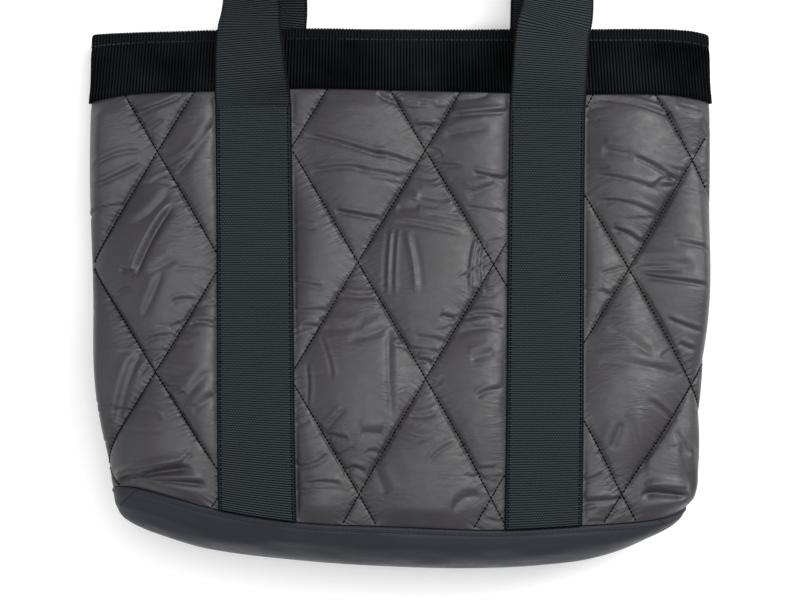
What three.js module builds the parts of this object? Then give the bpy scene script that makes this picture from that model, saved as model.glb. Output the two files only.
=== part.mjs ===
// A quilted puffer tote bag lying on its back, in millimetres.
// +X is to its right, +Y towards its handles and +Z up, and its front panel faces up.
import * as THREE from 'three';

// The bag.
const HALF_GIRTH = 420; // half way round the bag, along the stitched cloth
const PANEL_HEIGHT = 285; // quilted cloth from the band down to the base seam
const BAND_HEIGHT = 47; // corduroy band, measured along the cloth
const BAND_LYING_SHARE = 0.87; // the band slopes down to the rim, so it covers less length
const LYING_DEPTH = 70; // front to back at the base seam, as the bag lies
const BASE_BULGE = 29; // how far the base swells past its seam
const SECTION_POWER = 2.8; // squareness of a cross-section: 2 is an ellipse

// The quilting: crossing stitch lines with a padded diamond between them.
const DIAMOND_WIDTH = 88.4;
const DIAMOND_HEIGHT = 150;
const CROSSING_ACROSS = 16.6; // a crossing's distance to the right of the middle
const CROSSING_DOWN = 40; // the first row of crossings, below the band
const PUFF_RISE = 8; // how far a diamond swells out of its stitch lines
const BACK_PUFF_RISE = 6; // less at the back, where the bag's weight presses it flat
const PUFF_POWER = 0.62; // below 1 makes steep sides and a round top
const LEG_EASE = 9; // how soon the padding swells again beside a sewn leg
const SEAM_PINCH = 14; // cloth beside a seam that the seam pulls flat

// Walls, and the clearance between pieces.
const QUILT_WALL = 3; // at the stitch lines, where the padding is pressed flat
const BASE_WALL = 2.5;
const BAND_WALL = 4.5; // corduroy folded double over the cloth's edge
const BAND_PROUD = 1.5; // how far the band stands out of the quilted cloth
const GAP = 0.3;
const SLANT_GAP = 0.5; // at the base seam, which runs aslant at its corners

// The webbing handles.
const WEBBING_WIDTH = 50;
const WEBBING_THICK = 2.5;
const HANDLE_SPACING_TOP = 194; // between the middles of the two legs, at the band
const HANDLE_SPACING_BASE = 183; // the same at the base seam
const HANDLE_DROP = 240; // from the rim to the top of the arch
const LEG_MARGIN = 1.2; // cloth beside a sewn leg that its edge stitches hold flat
const CROSS_STITCH_DOWN = 11; // below the band, where a leg stops being sewn on

// How finely the shapes are cut into facets.
const CELLS_PER_HALF_DIAMOND = 5;
const BAND_COLUMNS = 88;
const FREE_HANDLE_STEPS = 44;
const SECTION_STEPS = 96;

// The cloth rests on the back handle, which lies between the band and the floor.
const REST_HEIGHT = WEBBING_THICK + BAND_PROUD + 2 * GAP;

// The lying bag's thickness and how far its cloth is gathered in, from the base seam (along 0)
// to the rim (along 1), as shares of the lying depth and of the girth.
const PROFILE = [
  { along: 0.00, thick: 1.00, girth: 0.948 },
  { along: 0.08, thick: 0.99, girth: 0.960 },
  { along: 0.19, thick: 0.95, girth: 0.982 },
  { along: 0.45, thick: 0.70, girth: 1.000 },
  { along: 0.63, thick: 0.53, girth: 1.000 },
  { along: 0.83, thick: 0.41, girth: 0.996 },
  { along: 0.88, thick: 0.40, girth: 0.988 },
  { along: 0.94, thick: 0.31, girth: 0.983 },
  { along: 1.00, thick: 0.22, girth: 0.977 },
];

// How the cloth is pulled up or sags along the bag, in shares of the panel's height.
// across runs from the left side seam (-1) to the right one (1).
const DRAPE = [
  { across: -1.00, rim: -0.014, band: -0.033, middle: 0.000, seam: 0.074 },
  { across: -0.95, rim: -0.012, band: -0.024, middle: 0.000, seam: 0.084 },
  { across: -0.85, rim: -0.010, band: -0.012, middle: 0.000, seam: 0.084 },
  { across: -0.58, rim: -0.006, band: -0.005, middle: 0.000, seam: 0.037 },
  { across: -0.32, rim: -0.002, band: 0.000, middle: 0.000, seam: 0.010 },
  { across: 0.00, rim: -0.004, band: -0.004, middle: 0.000, seam: 0.000 },
  { across: 0.30, rim: -0.004, band: -0.009, middle: -0.002, seam: -0.007 },
  { across: 0.60, rim: -0.003, band: -0.013, middle: -0.007, seam: 0.002 },
  { across: 0.84, rim: -0.002, band: -0.013, middle: -0.018, seam: 0.013 },
  { across: 0.94, rim: -0.006, band: -0.022, middle: -0.026, seam: 0.032 },
  { across: 1.00, rim: -0.014, band: -0.033, middle: -0.034, seam: 0.048 },
];

// How far the base swells past its seam along the bag, in shares of BASE_BULGE.
const SWELL = [
  { across: -1.00, swell: -0.14 },
  { across: -0.85, swell: 0.23 },
  { across: -0.66, swell: 0.60 },
  { across: -0.32, swell: 0.87 },
  { across: 0.00, swell: 1.00 },
  { across: 0.33, swell: 1.02 },
  { across: 0.60, swell: 0.88 },
  { across: 0.74, swell: 0.66 },
  { across: 0.86, swell: 0.32 },
  { across: 1.00, swell: -0.10 },
];
const RIDGE_SHARE = 0.94; // the length of the base's outermost line, as a share of its seam's

// Creases pulled into the front cloth: ends as shares of the half girth across
// and of the panel's height down, depth as a share of the puff's rise.
const CREASES = [
  { fromAcross: -0.98, fromDown: 0.93, toAcross: -0.50, toDown: 0.90, width: 9, depth: 0.55 },
  { fromAcross: 0.98, fromDown: 0.95, toAcross: 0.78, toDown: 0.91, width: 14, depth: 0.75 },
  { fromAcross: -0.30, fromDown: 0.42, toAcross: -0.05, toDown: 0.34, width: 11, depth: 0.22 },
  { fromAcross: 0.08, fromDown: 0.62, toAcross: 0.32, toDown: 0.74, width: 11, depth: 0.22 },
  { fromAcross: 0.62, fromDown: 0.50, toAcross: 0.90, toDown: 0.42, width: 11, depth: 0.22 },
];

// The free part of each handle, from its left cross stitch to its right one.
// across: share of half the spacing at the band; along: 0 at the cross stitch, 1 at HANDLE_DROP;
// lift: the lower edge above the floor, as a share of the lying depth; turn: degrees from flat.
const FRONT_ARCH = [
  { across: -1.00, along: 0.000, lift: 0.43, turn: 0 },
  { across: -1.01, along: 0.066, lift: 0.49, turn: 16 },
  { across: -1.02, along: 0.160, lift: 0.42, turn: 28 },
  { across: -1.01, along: 0.226, lift: 0.33, turn: 37 },
  { across: -1.03, along: 0.400, lift: 0.16, turn: 60 },
  { across: -0.95, along: 0.640, lift: 0.03, turn: 80 },
  { across: -0.66, along: 0.870, lift: 0.01, turn: 89 },
  { across: 0.00, along: 0.995, lift: 0.01, turn: 90 },
  { across: 0.68, along: 0.875, lift: 0.01, turn: 89 },
  { across: 1.00, along: 0.660, lift: 0.03, turn: 78 },
  { across: 1.11, along: 0.420, lift: 0.18, turn: 48 },
  { across: 1.07, along: 0.230, lift: 0.38, turn: 16 },
  { across: 1.03, along: 0.160, lift: 0.46, turn: 8 },
  { across: 1.01, along: 0.066, lift: 0.51, turn: 4 },
  { across: 1.00, along: 0.000, lift: 0.43, turn: 0 },
];
const BACK_ARCH = [
  { across: -1.00, along: 0.000, lift: 0.040, turn: 0 },
  { across: -0.99, along: 0.030, lift: 0.006, turn: 0 },
  { across: -0.95, along: 0.110, lift: 0.006, turn: 0 },
  { across: -0.91, along: 0.190, lift: 0.006, turn: 0 },
  { across: -0.90, along: 0.270, lift: 0.006, turn: 12 },
  { across: -0.93, along: 0.400, lift: 0.006, turn: 48 },
  { across: -0.86, along: 0.620, lift: 0.006, turn: 76 },
  { across: -0.61, along: 0.850, lift: 0.006, turn: 88 },
  { across: 0.00, along: 0.972, lift: 0.006, turn: 90 },
  { across: 0.64, along: 0.853, lift: 0.006, turn: 88 },
  { across: 0.94, along: 0.642, lift: 0.006, turn: 76 },
  { across: 1.03, along: 0.420, lift: 0.006, turn: 45 },
  { across: 1.02, along: 0.270, lift: 0.006, turn: 12 },
  { across: 1.02, along: 0.190, lift: 0.006, turn: 0 },
  { across: 1.01, along: 0.110, lift: 0.006, turn: 0 },
  { across: 1.00, along: 0.030, lift: 0.006, turn: 0 },
  { across: 1.00, along: 0.000, lift: 0.040, turn: 0 },
];

// Places along the bag: the base seam is at Y = 0.
const BAND_Y = PANEL_HEIGHT;
const RIM_Y = BAND_Y + BAND_HEIGHT * BAND_LYING_SHARE;
const REACH = HALF_GIRTH / 2; // along the cloth from its middle to a side seam
const FRONT = 1;
const BACK = -1;

const clamp = THREE.MathUtils.clamp;
const lerp = THREE.MathUtils.lerp;
const smoothstep = THREE.MathUtils.smoothstep;

// A smooth curve through one column of a table.
function readTable(table, place, column, at) {
  const last = table.length - 1;
  const x = clamp(at, table[0][place], table[last][place]);
  let i = 0;
  while (i < last - 1 && x > table[i + 1][place]) i += 1;
  const slope = (j) => {
    const a = table[Math.max(j - 1, 0)];
    const b = table[Math.min(j + 1, last)];
    return (b[column] - a[column]) / (b[place] - a[place]);
  };
  const span = table[i + 1][place] - table[i][place];
  const t = (x - table[i][place]) / span;
  const from = table[i][column];
  const to = table[i + 1][column];
  const blend = t * t * (3 - 2 * t);
  return lerp(from, to, blend)
    + span * t * (1 - t) * ((1 - t) * slope(i) - t * slope(i + 1));
}

// A quarter of a superellipse from the top of a section to its side, as points and running lengths.
function quarterSection(halfWidth, halfDepth) {
  const points = [];
  let length = 0;
  for (let i = 0; i <= SECTION_STEPS; i += 1) {
    const angle = (i / SECTION_STEPS) * Math.PI / 2;
    const x = halfWidth * Math.sin(angle) ** (2 / SECTION_POWER);
    const z = halfDepth * Math.max(Math.cos(angle), 0) ** (2 / SECTION_POWER);
    if (i > 0) length += Math.hypot(x - points[i - 1].x, z - points[i - 1].z);
    points.push({ x, z, length });
  }
  return points;
}

// The section at one place along the bag: its width follows from its depth, because cloth doesn't stretch.
function solveSection(y) {
  const halfDepth = LYING_DEPTH / 2 * readTable(PROFILE, 'along', 'thick', y / RIM_Y);
  const girth = readTable(PROFILE, 'along', 'girth', y / RIM_Y);
  let low = 0;
  let high = REACH;
  for (let i = 0; i < 30; i += 1) {
    const middle = (low + high) / 2;
    const quarter = quarterSection(middle, halfDepth);
    if (quarter[SECTION_STEPS].length < REACH * girth) low = middle;
    else high = middle;
  }
  return { halfDepth, girth, quarter: quarterSection(low, halfDepth) };
}

// Sections are solved at even places along the bag, and blended between them.
const SECTION_SPACING = 5;
const sections = new Map();
function sectionNumber(number) {
  if (!sections.has(number)) sections.set(number, solveSection(number * SECTION_SPACING));
  return sections.get(number);
}

// A place on one section, s along the cloth from its middle.
function sectionPoint(section, s) {
  const quarter = section.quarter;
  const target = Math.min(Math.abs(s) * section.girth, quarter[SECTION_STEPS].length);
  let i = 1;
  while (i < SECTION_STEPS && quarter[i].length < target) i += 1;
  const a = quarter[i - 1];
  const b = quarter[i];
  const t = (target - a.length) / (b.length - a.length);
  return { x: Math.sign(s) * lerp(a.x, b.x, t), z: lerp(a.z, b.z, t), halfDepth: section.halfDepth };
}

// Where a place on the cloth lies along the bag: down is 0 at the band and 1 at the base seam,
// and below 0 it is on the band, with -1 at the rim.
function clothY(s, down) {
  const across = s / REACH;
  const drape = (column) => PANEL_HEIGHT * readTable(DRAPE, 'across', column, across);
  if (down < 0) return lerp(BAND_Y + drape('band'), RIM_Y + drape('rim'), -down);
  const sag = drape('band') * (1 - down) ** 2
    + drape('middle') * 4 * down * (1 - down)
    + drape('seam') * down ** 4;
  return lerp(BAND_Y, 0, down) + sag;
}

// A place on the stitched cloth of one face. Past a side seam it runs on round the other face.
function clothPlace(face, s, down) {
  if (Math.abs(s) > REACH) {
    return clothPlace(-face, Math.sign(s) * (2 * REACH - Math.abs(s)), down);
  }
  const y = clothY(s, down);
  const number = clamp(y, 0, RIM_Y) / SECTION_SPACING;
  const a = sectionPoint(sectionNumber(Math.floor(number)), s);
  const b = sectionPoint(sectionNumber(Math.floor(number) + 1), s);
  const t = number - Math.floor(number);
  const middle = REST_HEIGHT + lerp(a.halfDepth, b.halfDepth, t);
  return new THREE.Vector3(lerp(a.x, b.x, t), y, middle + face * lerp(a.z, b.z, t));
}

// A place that stands out from the stitched cloth by rise, and never under the floor.
const FEELER = 2; // how far apart the places are that give the cloth's direction
function clothPoint(face, s, down, rise) {
  const stepDown = FEELER / PANEL_HEIGHT;
  const left = clothPlace(face, s - FEELER, down);
  const right = clothPlace(face, s + FEELER, down);
  const above = clothPlace(face, s, down - stepDown);
  const below = clothPlace(face, s, Math.min(down + stepDown, 1));
  const out = right.sub(left).cross(above.sub(below)).multiplyScalar(face).normalize();
  const point = clothPlace(face, s, down).addScaledVector(out, rise);
  point.z = Math.max(point.z, 0);
  return point;
}

// A place on a sewn leg, outward from its middle line; side is -1 on the left and 1 on the right.
// Webbing keeps its width where the cloth under it is gathered.
function legPlace(side, down, outward) {
  const middle = lerp(HANDLE_SPACING_TOP, HANDLE_SPACING_BASE, down) / 2;
  const girth = readTable(PROFILE, 'along', 'girth', clothY(side * middle, down) / RIM_Y);
  return side * (middle + outward) / girth;
}

// A closed mesh put together from points and the faces between them.
class Skin {
  constructor() {
    this.points = [];
    this.faces = [];
    this.numbers = new Map();
  }

  number(point) {
    const key = point.toArray().map((value) => value.toFixed(4)).join();
    if (!this.numbers.has(key)) {
      this.numbers.set(key, this.points.length);
      this.points.push(point);
    }
    return this.numbers.get(key);
  }

  triangle(a, b, c) {
    const [i, j, k] = [a, b, c].map((point) => this.number(point));
    if (i !== j && j !== k && k !== i) this.faces.push(i, j, k);
  }

  // The corners go round the face anticlockwise, seen from outside; the cut joins a to c.
  quad(a, b, c, d) {
    this.triangle(a, b, c);
    this.triangle(a, c, d);
  }

  // Rows run one way and the points in them the other; cut picks each cell's diagonal.
  grid(rows, cut = () => false) {
    for (let j = 0; j < rows.length - 1; j += 1) {
      for (let i = 0; i < rows[j].length - 1; i += 1) {
        const [a, b] = [rows[j][i], rows[j + 1][i]];
        const [c, d] = [rows[j + 1][i + 1], rows[j][i + 1]];
        if (cut(i, j)) this.quad(b, c, d, a);
        else this.quad(a, b, c, d);
      }
    }
  }

  // A strip between a fine edge and a coarse one that has every other point of it.
  strip(fine, coarse) {
    for (let i = 0; i < coarse.length - 1; i += 1) {
      const [a, b] = [fine[2 * i], fine[Math.min(2 * i + 1, fine.length - 1)]];
      const c = fine[Math.min(2 * i + 2, fine.length - 1)];
      this.triangle(a, coarse[i], b);
      this.triangle(b, coarse[i], coarse[i + 1]);
      this.triangle(b, coarse[i + 1], c);
    }
  }

  mesh(name, material) {
    const geometry = new THREE.BufferGeometry();
    const numbers = this.points.flatMap((point) => point.toArray());
    geometry.setAttribute('position', new THREE.Float32BufferAttribute(numbers, 3));
    geometry.setIndex(this.faces);
    geometry.computeVertexNormals();
    const mesh = new THREE.Mesh(geometry, material);
    mesh.name = name;
    return mesh;
  }
}

// Every other item of a list, and always its last.
function everyOther(list) {
  return list.filter((item, i) => i % 2 === 0 || i === list.length - 1);
}

// The lines of a grid that lies on the quilting, with the piece's two edges added.
function gridLines(from, to, start, step) {
  const first = Math.ceil((from - start) / step + 0.4);
  const last = Math.floor((to - start) / step - 0.4);
  const lines = [{ number: first - 1, place: from }];
  for (let number = first; number <= last; number += 1) {
    lines.push({ number, place: start + number * step });
  }
  lines.push({ number: last + 1, place: to });
  return lines;
}

const COLUMN = DIAMOND_WIDTH / (2 * CELLS_PER_HALF_DIAMOND);
const ROW = DIAMOND_HEIGHT / (2 * CELLS_PER_HALF_DIAMOND);
const COLUMNS = gridLines(-REACH, REACH, CROSSING_ACROSS, COLUMN);
const ROWS = gridLines(GAP, PANEL_HEIGHT, CROSSING_DOWN, ROW);

// The two columns of the grid that are moved to each leg's sewn edges; edge is 1 at the outer one.
const LEG_EDGES = [-1, 1].flatMap((side) => [-1, 1].map((edge) => {
  const place = (down) => legPlace(side, down, edge * (WEBBING_WIDTH / 2 + LEG_MARGIN));
  return { side, edge, place, number: Math.round((place(0.5) - CROSSING_ACROSS) / COLUMN) };
}));
const LEG_SPREAD = 3; // columns over which such a move fades out

// Where a column crosses a row, once the columns beside the legs have made room.
function columnPlace(column, down) {
  let place = column.place;
  for (const leg of LEG_EDGES) {
    const share = 1 - Math.abs(column.number - leg.number) / LEG_SPREAD;
    const home = CROSSING_ACROSS + leg.number * COLUMN;
    if (share > 0) place += share * (leg.place(down) - home);
  }
  return Math.abs(column.place) === REACH ? column.place : place;
}

// How far the nearer leg lets the padding swell: 0 under it and at its edge, up to 1.
function legPress(column) {
  const beyond = LEG_EDGES.map((leg) => leg.side * leg.edge * (column.number - leg.number));
  const left = Math.max(beyond[0], beyond[1]);
  const right = Math.max(beyond[2], beyond[3]);
  return 1 - Math.exp(-Math.max(Math.min(left, right), 0) * COLUMN / LEG_EASE);
}

// How deep a crease is at a place on the front cloth, as a share of the puff's rise.
function creaseDepth(s, down) {
  let depth = 0;
  for (const crease of CREASES) {
    const from = new THREE.Vector3(crease.fromAcross * REACH, crease.fromDown * PANEL_HEIGHT, 0);
    const to = new THREE.Vector3(crease.toAcross * REACH, crease.toDown * PANEL_HEIGHT, 0);
    const here = new THREE.Vector3(s, down, 0);
    const nearest = new THREE.Line3(from, to).closestPointToPoint(here, true, new THREE.Vector3());
    depth += crease.depth * Math.exp(-((here.distanceTo(nearest) / crease.width) ** 2));
  }
  return depth;
}

// How far the padding swells at a place in the quilting, as a share of its full rise.
function puffShare(face, column, row) {
  const across = (column.place - CROSSING_ACROSS) / DIAMOND_WIDTH;
  const down = (row.place - CROSSING_DOWN) / DIAMOND_HEIGHT;
  const one = across + down;
  const other = across - down;
  const pillow = Math.abs(Math.sin(Math.PI * one) * Math.sin(Math.PI * other)) ** PUFF_POWER;
  const variety = 1 + 0.1 * Math.sin(12.9 * Math.floor(one) + 7.8 * Math.floor(other));
  const seamSide = smoothstep(REACH - Math.abs(column.place), 0, SEAM_PINCH);
  const seamEnds = Math.min(row.place, PANEL_HEIGHT - row.place);
  const pinch = seamSide * Math.sqrt(smoothstep(seamEnds, 0, SEAM_PINCH));
  const crease = face === FRONT ? creaseDepth(column.place, row.place) : 0;
  return pillow * variety * pinch * legPress(column) * clamp(1 - crease, 0, 1);
}

// A quilted panel: its outside swells between the stitch lines, and its inside is smooth.
function quiltedPanel(face, rise) {
  const at = (column, row, out) => {
    const down = row.place / PANEL_HEIGHT;
    const point = clothPoint(face, columnPlace(column, down), down, out);
    point.z += face * GAP / 2;
    point.z = Math.max(point.z, 0);
    return point;
  };
  const columns = face === FRONT ? COLUMNS : [...COLUMNS].reverse();
  const outside = ROWS.map((row) => columns.map(
    (column) => at(column, row, rise * puffShare(face, column, row)),
  ));
  const inside = everyOther(ROWS).map((row) => everyOther(columns).map(
    (column) => at(column, row, -QUILT_WALL),
  ));
  const period = 2 * CELLS_PER_HALF_DIAMOND;
  const alongLine = (i, j) => (columns[i].number + face * (ROWS[j].number + 1)) % period === 0;
  return closedShell(outside, inside, alongLine);
}

// A wall between an outside and a coarser inside that have the same four edges.
function closedShell(outside, inside, cut) {
  const skin = new Skin();
  skin.grid(outside, cut);
  skin.grid(inside.map((row) => [...row].reverse()));
  const edge = (rows, i) => rows.map((row) => row.at(i));
  skin.strip([...outside[0]].reverse(), [...inside[0]].reverse());
  skin.strip(outside.at(-1), inside.at(-1));
  skin.strip(edge(outside, 0), edge(inside, 0));
  skin.strip(edge(outside, -1).reverse(), edge(inside, -1).reverse());
  return skin;
}

// The base swells from its seam out to a rounded ridge line.
const BASE_ROWS = 5;
function basePanel() {
  const level = (face, rise) => Array.from({ length: BASE_ROWS + 1 }, (unused, j) => {
    const angle = (j / BASE_ROWS) * Math.PI / 2;
    return COLUMNS.map((column) => basePoint(face, column, angle, rise));
  });
  const half = (face, rise) => {
    const rows = level(face, rise);
    return face === FRONT ? rows : rows.map((row) => [...row].reverse());
  };
  const coarse = (rows) => everyOther(rows).map(everyOther);
  const skin = new Skin();
  for (const face of [FRONT, BACK]) {
    const outside = half(face, 0);
    const inside = coarse(level(face, -BASE_WALL));
    skin.grid(outside);
    const inner = face === FRONT ? inside.map((row) => [...row].reverse()) : inside;
    skin.grid(inner);
    const coarseEdge = face === FRONT ? inside[0] : [...inside[0]].reverse();
    skin.strip([...outside[0]].reverse(), [...coarseEdge].reverse());
  }
  return skin;
}

function basePoint(face, column, angle, rise) {
  const s = columnPlace(column, 1);
  const seam = clothPoint(face, s, 1, rise);
  const swell = BASE_BULGE * readTable(SWELL, 'across', 'swell', column.place / REACH);
  const ridge = {
    x: clothPlace(FRONT, s, 1).x * RIDGE_SHARE * (1 + rise / REACH),
    y: -swell - rise,
    z: clothPlace(FRONT, Math.sign(s) * REACH, 1).z,
  };
  return new THREE.Vector3(
    lerp(ridge.x, seam.x, Math.cos(angle)),
    lerp(seam.y, ridge.y, Math.sin(angle)) - SLANT_GAP,
    Math.max(lerp(ridge.z, seam.z, Math.cos(angle)), 0),
  );
}

// The band is a ring whose section is a flat wall with a rolled top.
const BAND_ROWS = 4;
const ROLL_STEPS = 4;
function topBand() {
  const roll = BAND_WALL / 2;
  const inner = BAND_PROUD - BAND_WALL;
  const outline = [];
  const lowest = -GAP / BAND_HEIGHT;
  const highest = -1 + roll / BAND_HEIGHT;
  for (let j = 0; j <= BAND_ROWS; j += 1) {
    outline.push({ down: lerp(lowest, highest, j / BAND_ROWS), rise: BAND_PROUD });
  }
  for (let j = 1; j < ROLL_STEPS; j += 1) {
    const angle = (j / ROLL_STEPS) * Math.PI;
    outline.push({
      down: highest - (roll / BAND_HEIGHT) * Math.sin(angle),
      rise: BAND_PROUD - roll + roll * Math.cos(angle),
    });
  }
  for (let j = BAND_ROWS; j >= 0; j -= 1) {
    outline.push({ down: lerp(lowest, highest, j / BAND_ROWS), rise: inner });
  }
  outline.push(outline[0]);
  const half = BAND_COLUMNS / 2;
  const ring = Array.from({ length: BAND_COLUMNS + 1 }, (unused, i) => {
    const turn = i % BAND_COLUMNS;
    const face = turn <= half ? FRONT : BACK;
    const share = turn <= half ? turn / half : 2 - turn / half;
    return { face, s: lerp(-REACH, REACH, share) };
  });
  const skin = new Skin();
  skin.grid(outline.map(({ down, rise }) => ring.map(
    ({ face, s }) => clothPoint(face, s, down, rise),
  )).reverse());
  return skin;
}

// A closed strip of webbing through cross-sections, each a row of under and over points.
function webbing(stations) {
  const rings = stations.map(({ under, over }) => {
    const ring = [...under, ...[...over].reverse()];
    return [...ring, ring[0]];
  });
  const skin = new Skin();
  const first = stations[0];
  const last = stations.at(-1);
  skin.grid(rings);
  skin.grid([first.over, first.under]);
  skin.grid([[...last.over].reverse(), [...last.under].reverse()]);
  return skin;
}

// Points across the webbing at one place on its sewn leg.
const WEBBING_SPLITS = 3;
function sewnStation(face, side, down) {
  const row = (rise) => Array.from({ length: WEBBING_SPLITS + 1 }, (unused, i) => {
    const offset = lerp(-WEBBING_WIDTH / 2, WEBBING_WIDTH / 2, i / WEBBING_SPLITS);
    return clothPoint(face, legPlace(side, down, -offset), down, rise);
  });
  const near = row(GAP);
  const far = row(GAP + WEBBING_THICK);
  return face === FRONT ? { under: near, over: far } : { under: far, over: near };
}

// A sewn leg has its sections on the rows of the cloth under it, from the base seam upwards.
function sewnLeg(face, side) {
  const between = ROWS.slice(0, -1).map((row) => row.place).filter((place) => place > CROSS_STITCH_DOWN);
  const places = [CROSS_STITCH_DOWN, ...between, PANEL_HEIGHT - GAP];
  return places.reverse().map((place) => sewnStation(face, side, place / PANEL_HEIGHT));
}

// The free part of a handle, along a smooth path through the rows of its table.
function freeArch(face, table) {
  const cross = CROSS_STITCH_DOWN / PANEL_HEIGHT;
  const start = clothPlace(face, legPlace(-1, cross, 0), cross).y;
  const reach = RIM_Y + HANDLE_DROP - start;
  const places = table.map((row, i) => {
    const side = Math.sign(i - 1);
    if (i === 0 || i === table.length - 1) {
      return clothPoint(face, legPlace(side, cross, 0), cross, GAP + WEBBING_THICK / 2);
    }
    const turn = THREE.MathUtils.degToRad(row.turn);
    const height = row.lift * LYING_DEPTH + Math.sin(turn) * WEBBING_WIDTH / 2
      + Math.cos(turn) * WEBBING_THICK / 2;
    return new THREE.Vector3(
      row.across * HANDLE_SPACING_TOP / 2,
      start + row.along * reach,
      height,
    );
  });
  const path = new THREE.CatmullRomCurve3(places, false, 'catmullrom', 0.5);
  const turns = new THREE.CatmullRomCurve3(
    table.map((row) => new THREE.Vector3(row.turn, 0, 0)), false, 'catmullrom', 0.5,
  );
  return Array.from({ length: FREE_HANDLE_STEPS - 1 }, (unused, i) => {
    const u = (i + 1) / FREE_HANDLE_STEPS;
    const ahead = path.getTangent(u);
    const turn = THREE.MathUtils.degToRad(turns.getPoint(u).x);
    const inward = new THREE.Vector3(ahead.y, -ahead.x, 0).normalize();
    const width = inward.multiplyScalar(Math.cos(turn)).add(new THREE.Vector3(0, 0, Math.sin(turn)));
    const over = new THREE.Vector3().crossVectors(width, ahead).normalize();
    const row = (out) => Array.from({ length: WEBBING_SPLITS + 1 }, (unusedToo, k) => {
      const offset = lerp(-WEBBING_WIDTH / 2, WEBBING_WIDTH / 2, k / WEBBING_SPLITS);
      const point = path.getPoint(u).addScaledVector(width, offset).addScaledVector(over, out);
      point.z = Math.max(point.z, 0);
      return point;
    });
    return { under: row(-WEBBING_THICK / 2), over: row(WEBBING_THICK / 2) };
  });
}

function handle(face, table) {
  return webbing([...sewnLeg(face, -1), ...freeArch(face, table), ...sewnLeg(face, 1).reverse()]);
}

function cloth(colour, roughness) {
  return new THREE.MeshStandardMaterial({ color: colour, roughness, metalness: 0 });
}
const nylon = cloth(0x57545a, 0.55);
const baseNylon = cloth(0x3b3d44, 0.5);
const corduroy = cloth(0x121213, 0.95);
const webbingCloth = cloth(0x2e3437, 0.9);

const bag = new THREE.Group();
bag.add(quiltedPanel(FRONT, PUFF_RISE).mesh('front_panel', nylon));
bag.add(quiltedPanel(BACK, BACK_PUFF_RISE).mesh('back_panel', nylon));
bag.add(basePanel().mesh('base_panel', baseNylon));
bag.add(topBand().mesh('top_band', corduroy));
bag.add(handle(FRONT, FRONT_ARCH).mesh('front_handle', webbingCloth));
bag.add(handle(BACK, BACK_ARCH).mesh('back_handle', webbingCloth));

// The origin is under the middle of everything, on the surface that the bag lies on.
const box = new THREE.Box3().setFromObject(bag);
const middle = box.getCenter(new THREE.Vector3());
bag.position.set(-middle.x, -middle.y, -box.min.z);

export default bag;
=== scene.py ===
# A quilted puffer tote bag lying on its back, dressed over its solids.
# Cloth is worked out in millimetres, with the base seam at Y = 0, and placed in metres at the end.
import math

import bpy
import numpy as np
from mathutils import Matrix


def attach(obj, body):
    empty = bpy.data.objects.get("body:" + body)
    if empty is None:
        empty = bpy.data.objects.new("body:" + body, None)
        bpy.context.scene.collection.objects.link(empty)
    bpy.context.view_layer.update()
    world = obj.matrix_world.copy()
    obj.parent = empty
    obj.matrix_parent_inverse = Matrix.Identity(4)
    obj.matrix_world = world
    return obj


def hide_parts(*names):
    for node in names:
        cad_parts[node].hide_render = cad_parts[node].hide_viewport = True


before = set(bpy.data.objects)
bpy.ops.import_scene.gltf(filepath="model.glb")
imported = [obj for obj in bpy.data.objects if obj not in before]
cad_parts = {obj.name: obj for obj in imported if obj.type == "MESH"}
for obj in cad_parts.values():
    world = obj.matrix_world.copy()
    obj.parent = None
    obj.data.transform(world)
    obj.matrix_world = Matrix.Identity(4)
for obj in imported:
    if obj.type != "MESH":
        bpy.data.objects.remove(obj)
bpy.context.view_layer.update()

# The bag, as its solids have it.
BASE_SEAM_Y = -267.65  # where the base seam lies in the row's frame
HALF_GIRTH = 420
REACH = HALF_GIRTH / 2
PANEL_HEIGHT = 285
BAND_HEIGHT = 47
BAND_LYING_SHARE = 0.87
LYING_DEPTH = 70
BASE_BULGE = 29
SECTION_POWER = 2.8
BAND_Y = PANEL_HEIGHT
RIM_Y = BAND_Y + BAND_HEIGHT * BAND_LYING_SHARE

# The quilting.
DIAMOND_WIDTH = 88.4
DIAMOND_HEIGHT = 150
CROSSING_ACROSS = 16.6
CROSSING_DOWN = 40
PUFF_RISE = 8
BACK_PUFF_RISE = 6
PUFF_POWER = 0.62
SEAM_PINCH = 14
LEG_MARGIN = 1.2  # cloth beside a sewn leg that its edge stitches hold flat
LEG_EASE = 9  # how soon the padding swells again beside it

# Walls.
QUILT_WALL = 3
BASE_WALL = 2.5
BAND_WALL = 4.5
BAND_PROUD = 1.5
GAP = 0.3
SLANT_GAP = 0.5

# The webbing handles.
WEBBING_WIDTH = 50
WEBBING_THICK = 2.5
HANDLE_SPACING_TOP = 194
HANDLE_SPACING_BASE = 183
HANDLE_DROP = 240
CROSS_STITCH_DOWN = 11
REST_HEIGHT = WEBBING_THICK + BAND_PROUD + 2 * GAP

FRONT = 1
BACK = -1


def table(columns, rows):
    """A short table with named columns; the first one is the place along it."""
    names = columns.split()
    return {"place": np.array([row[0] for row in rows], float)} | {
        name: np.array([row[i] for row in rows], float) for i, name in enumerate(names)
    }


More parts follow.
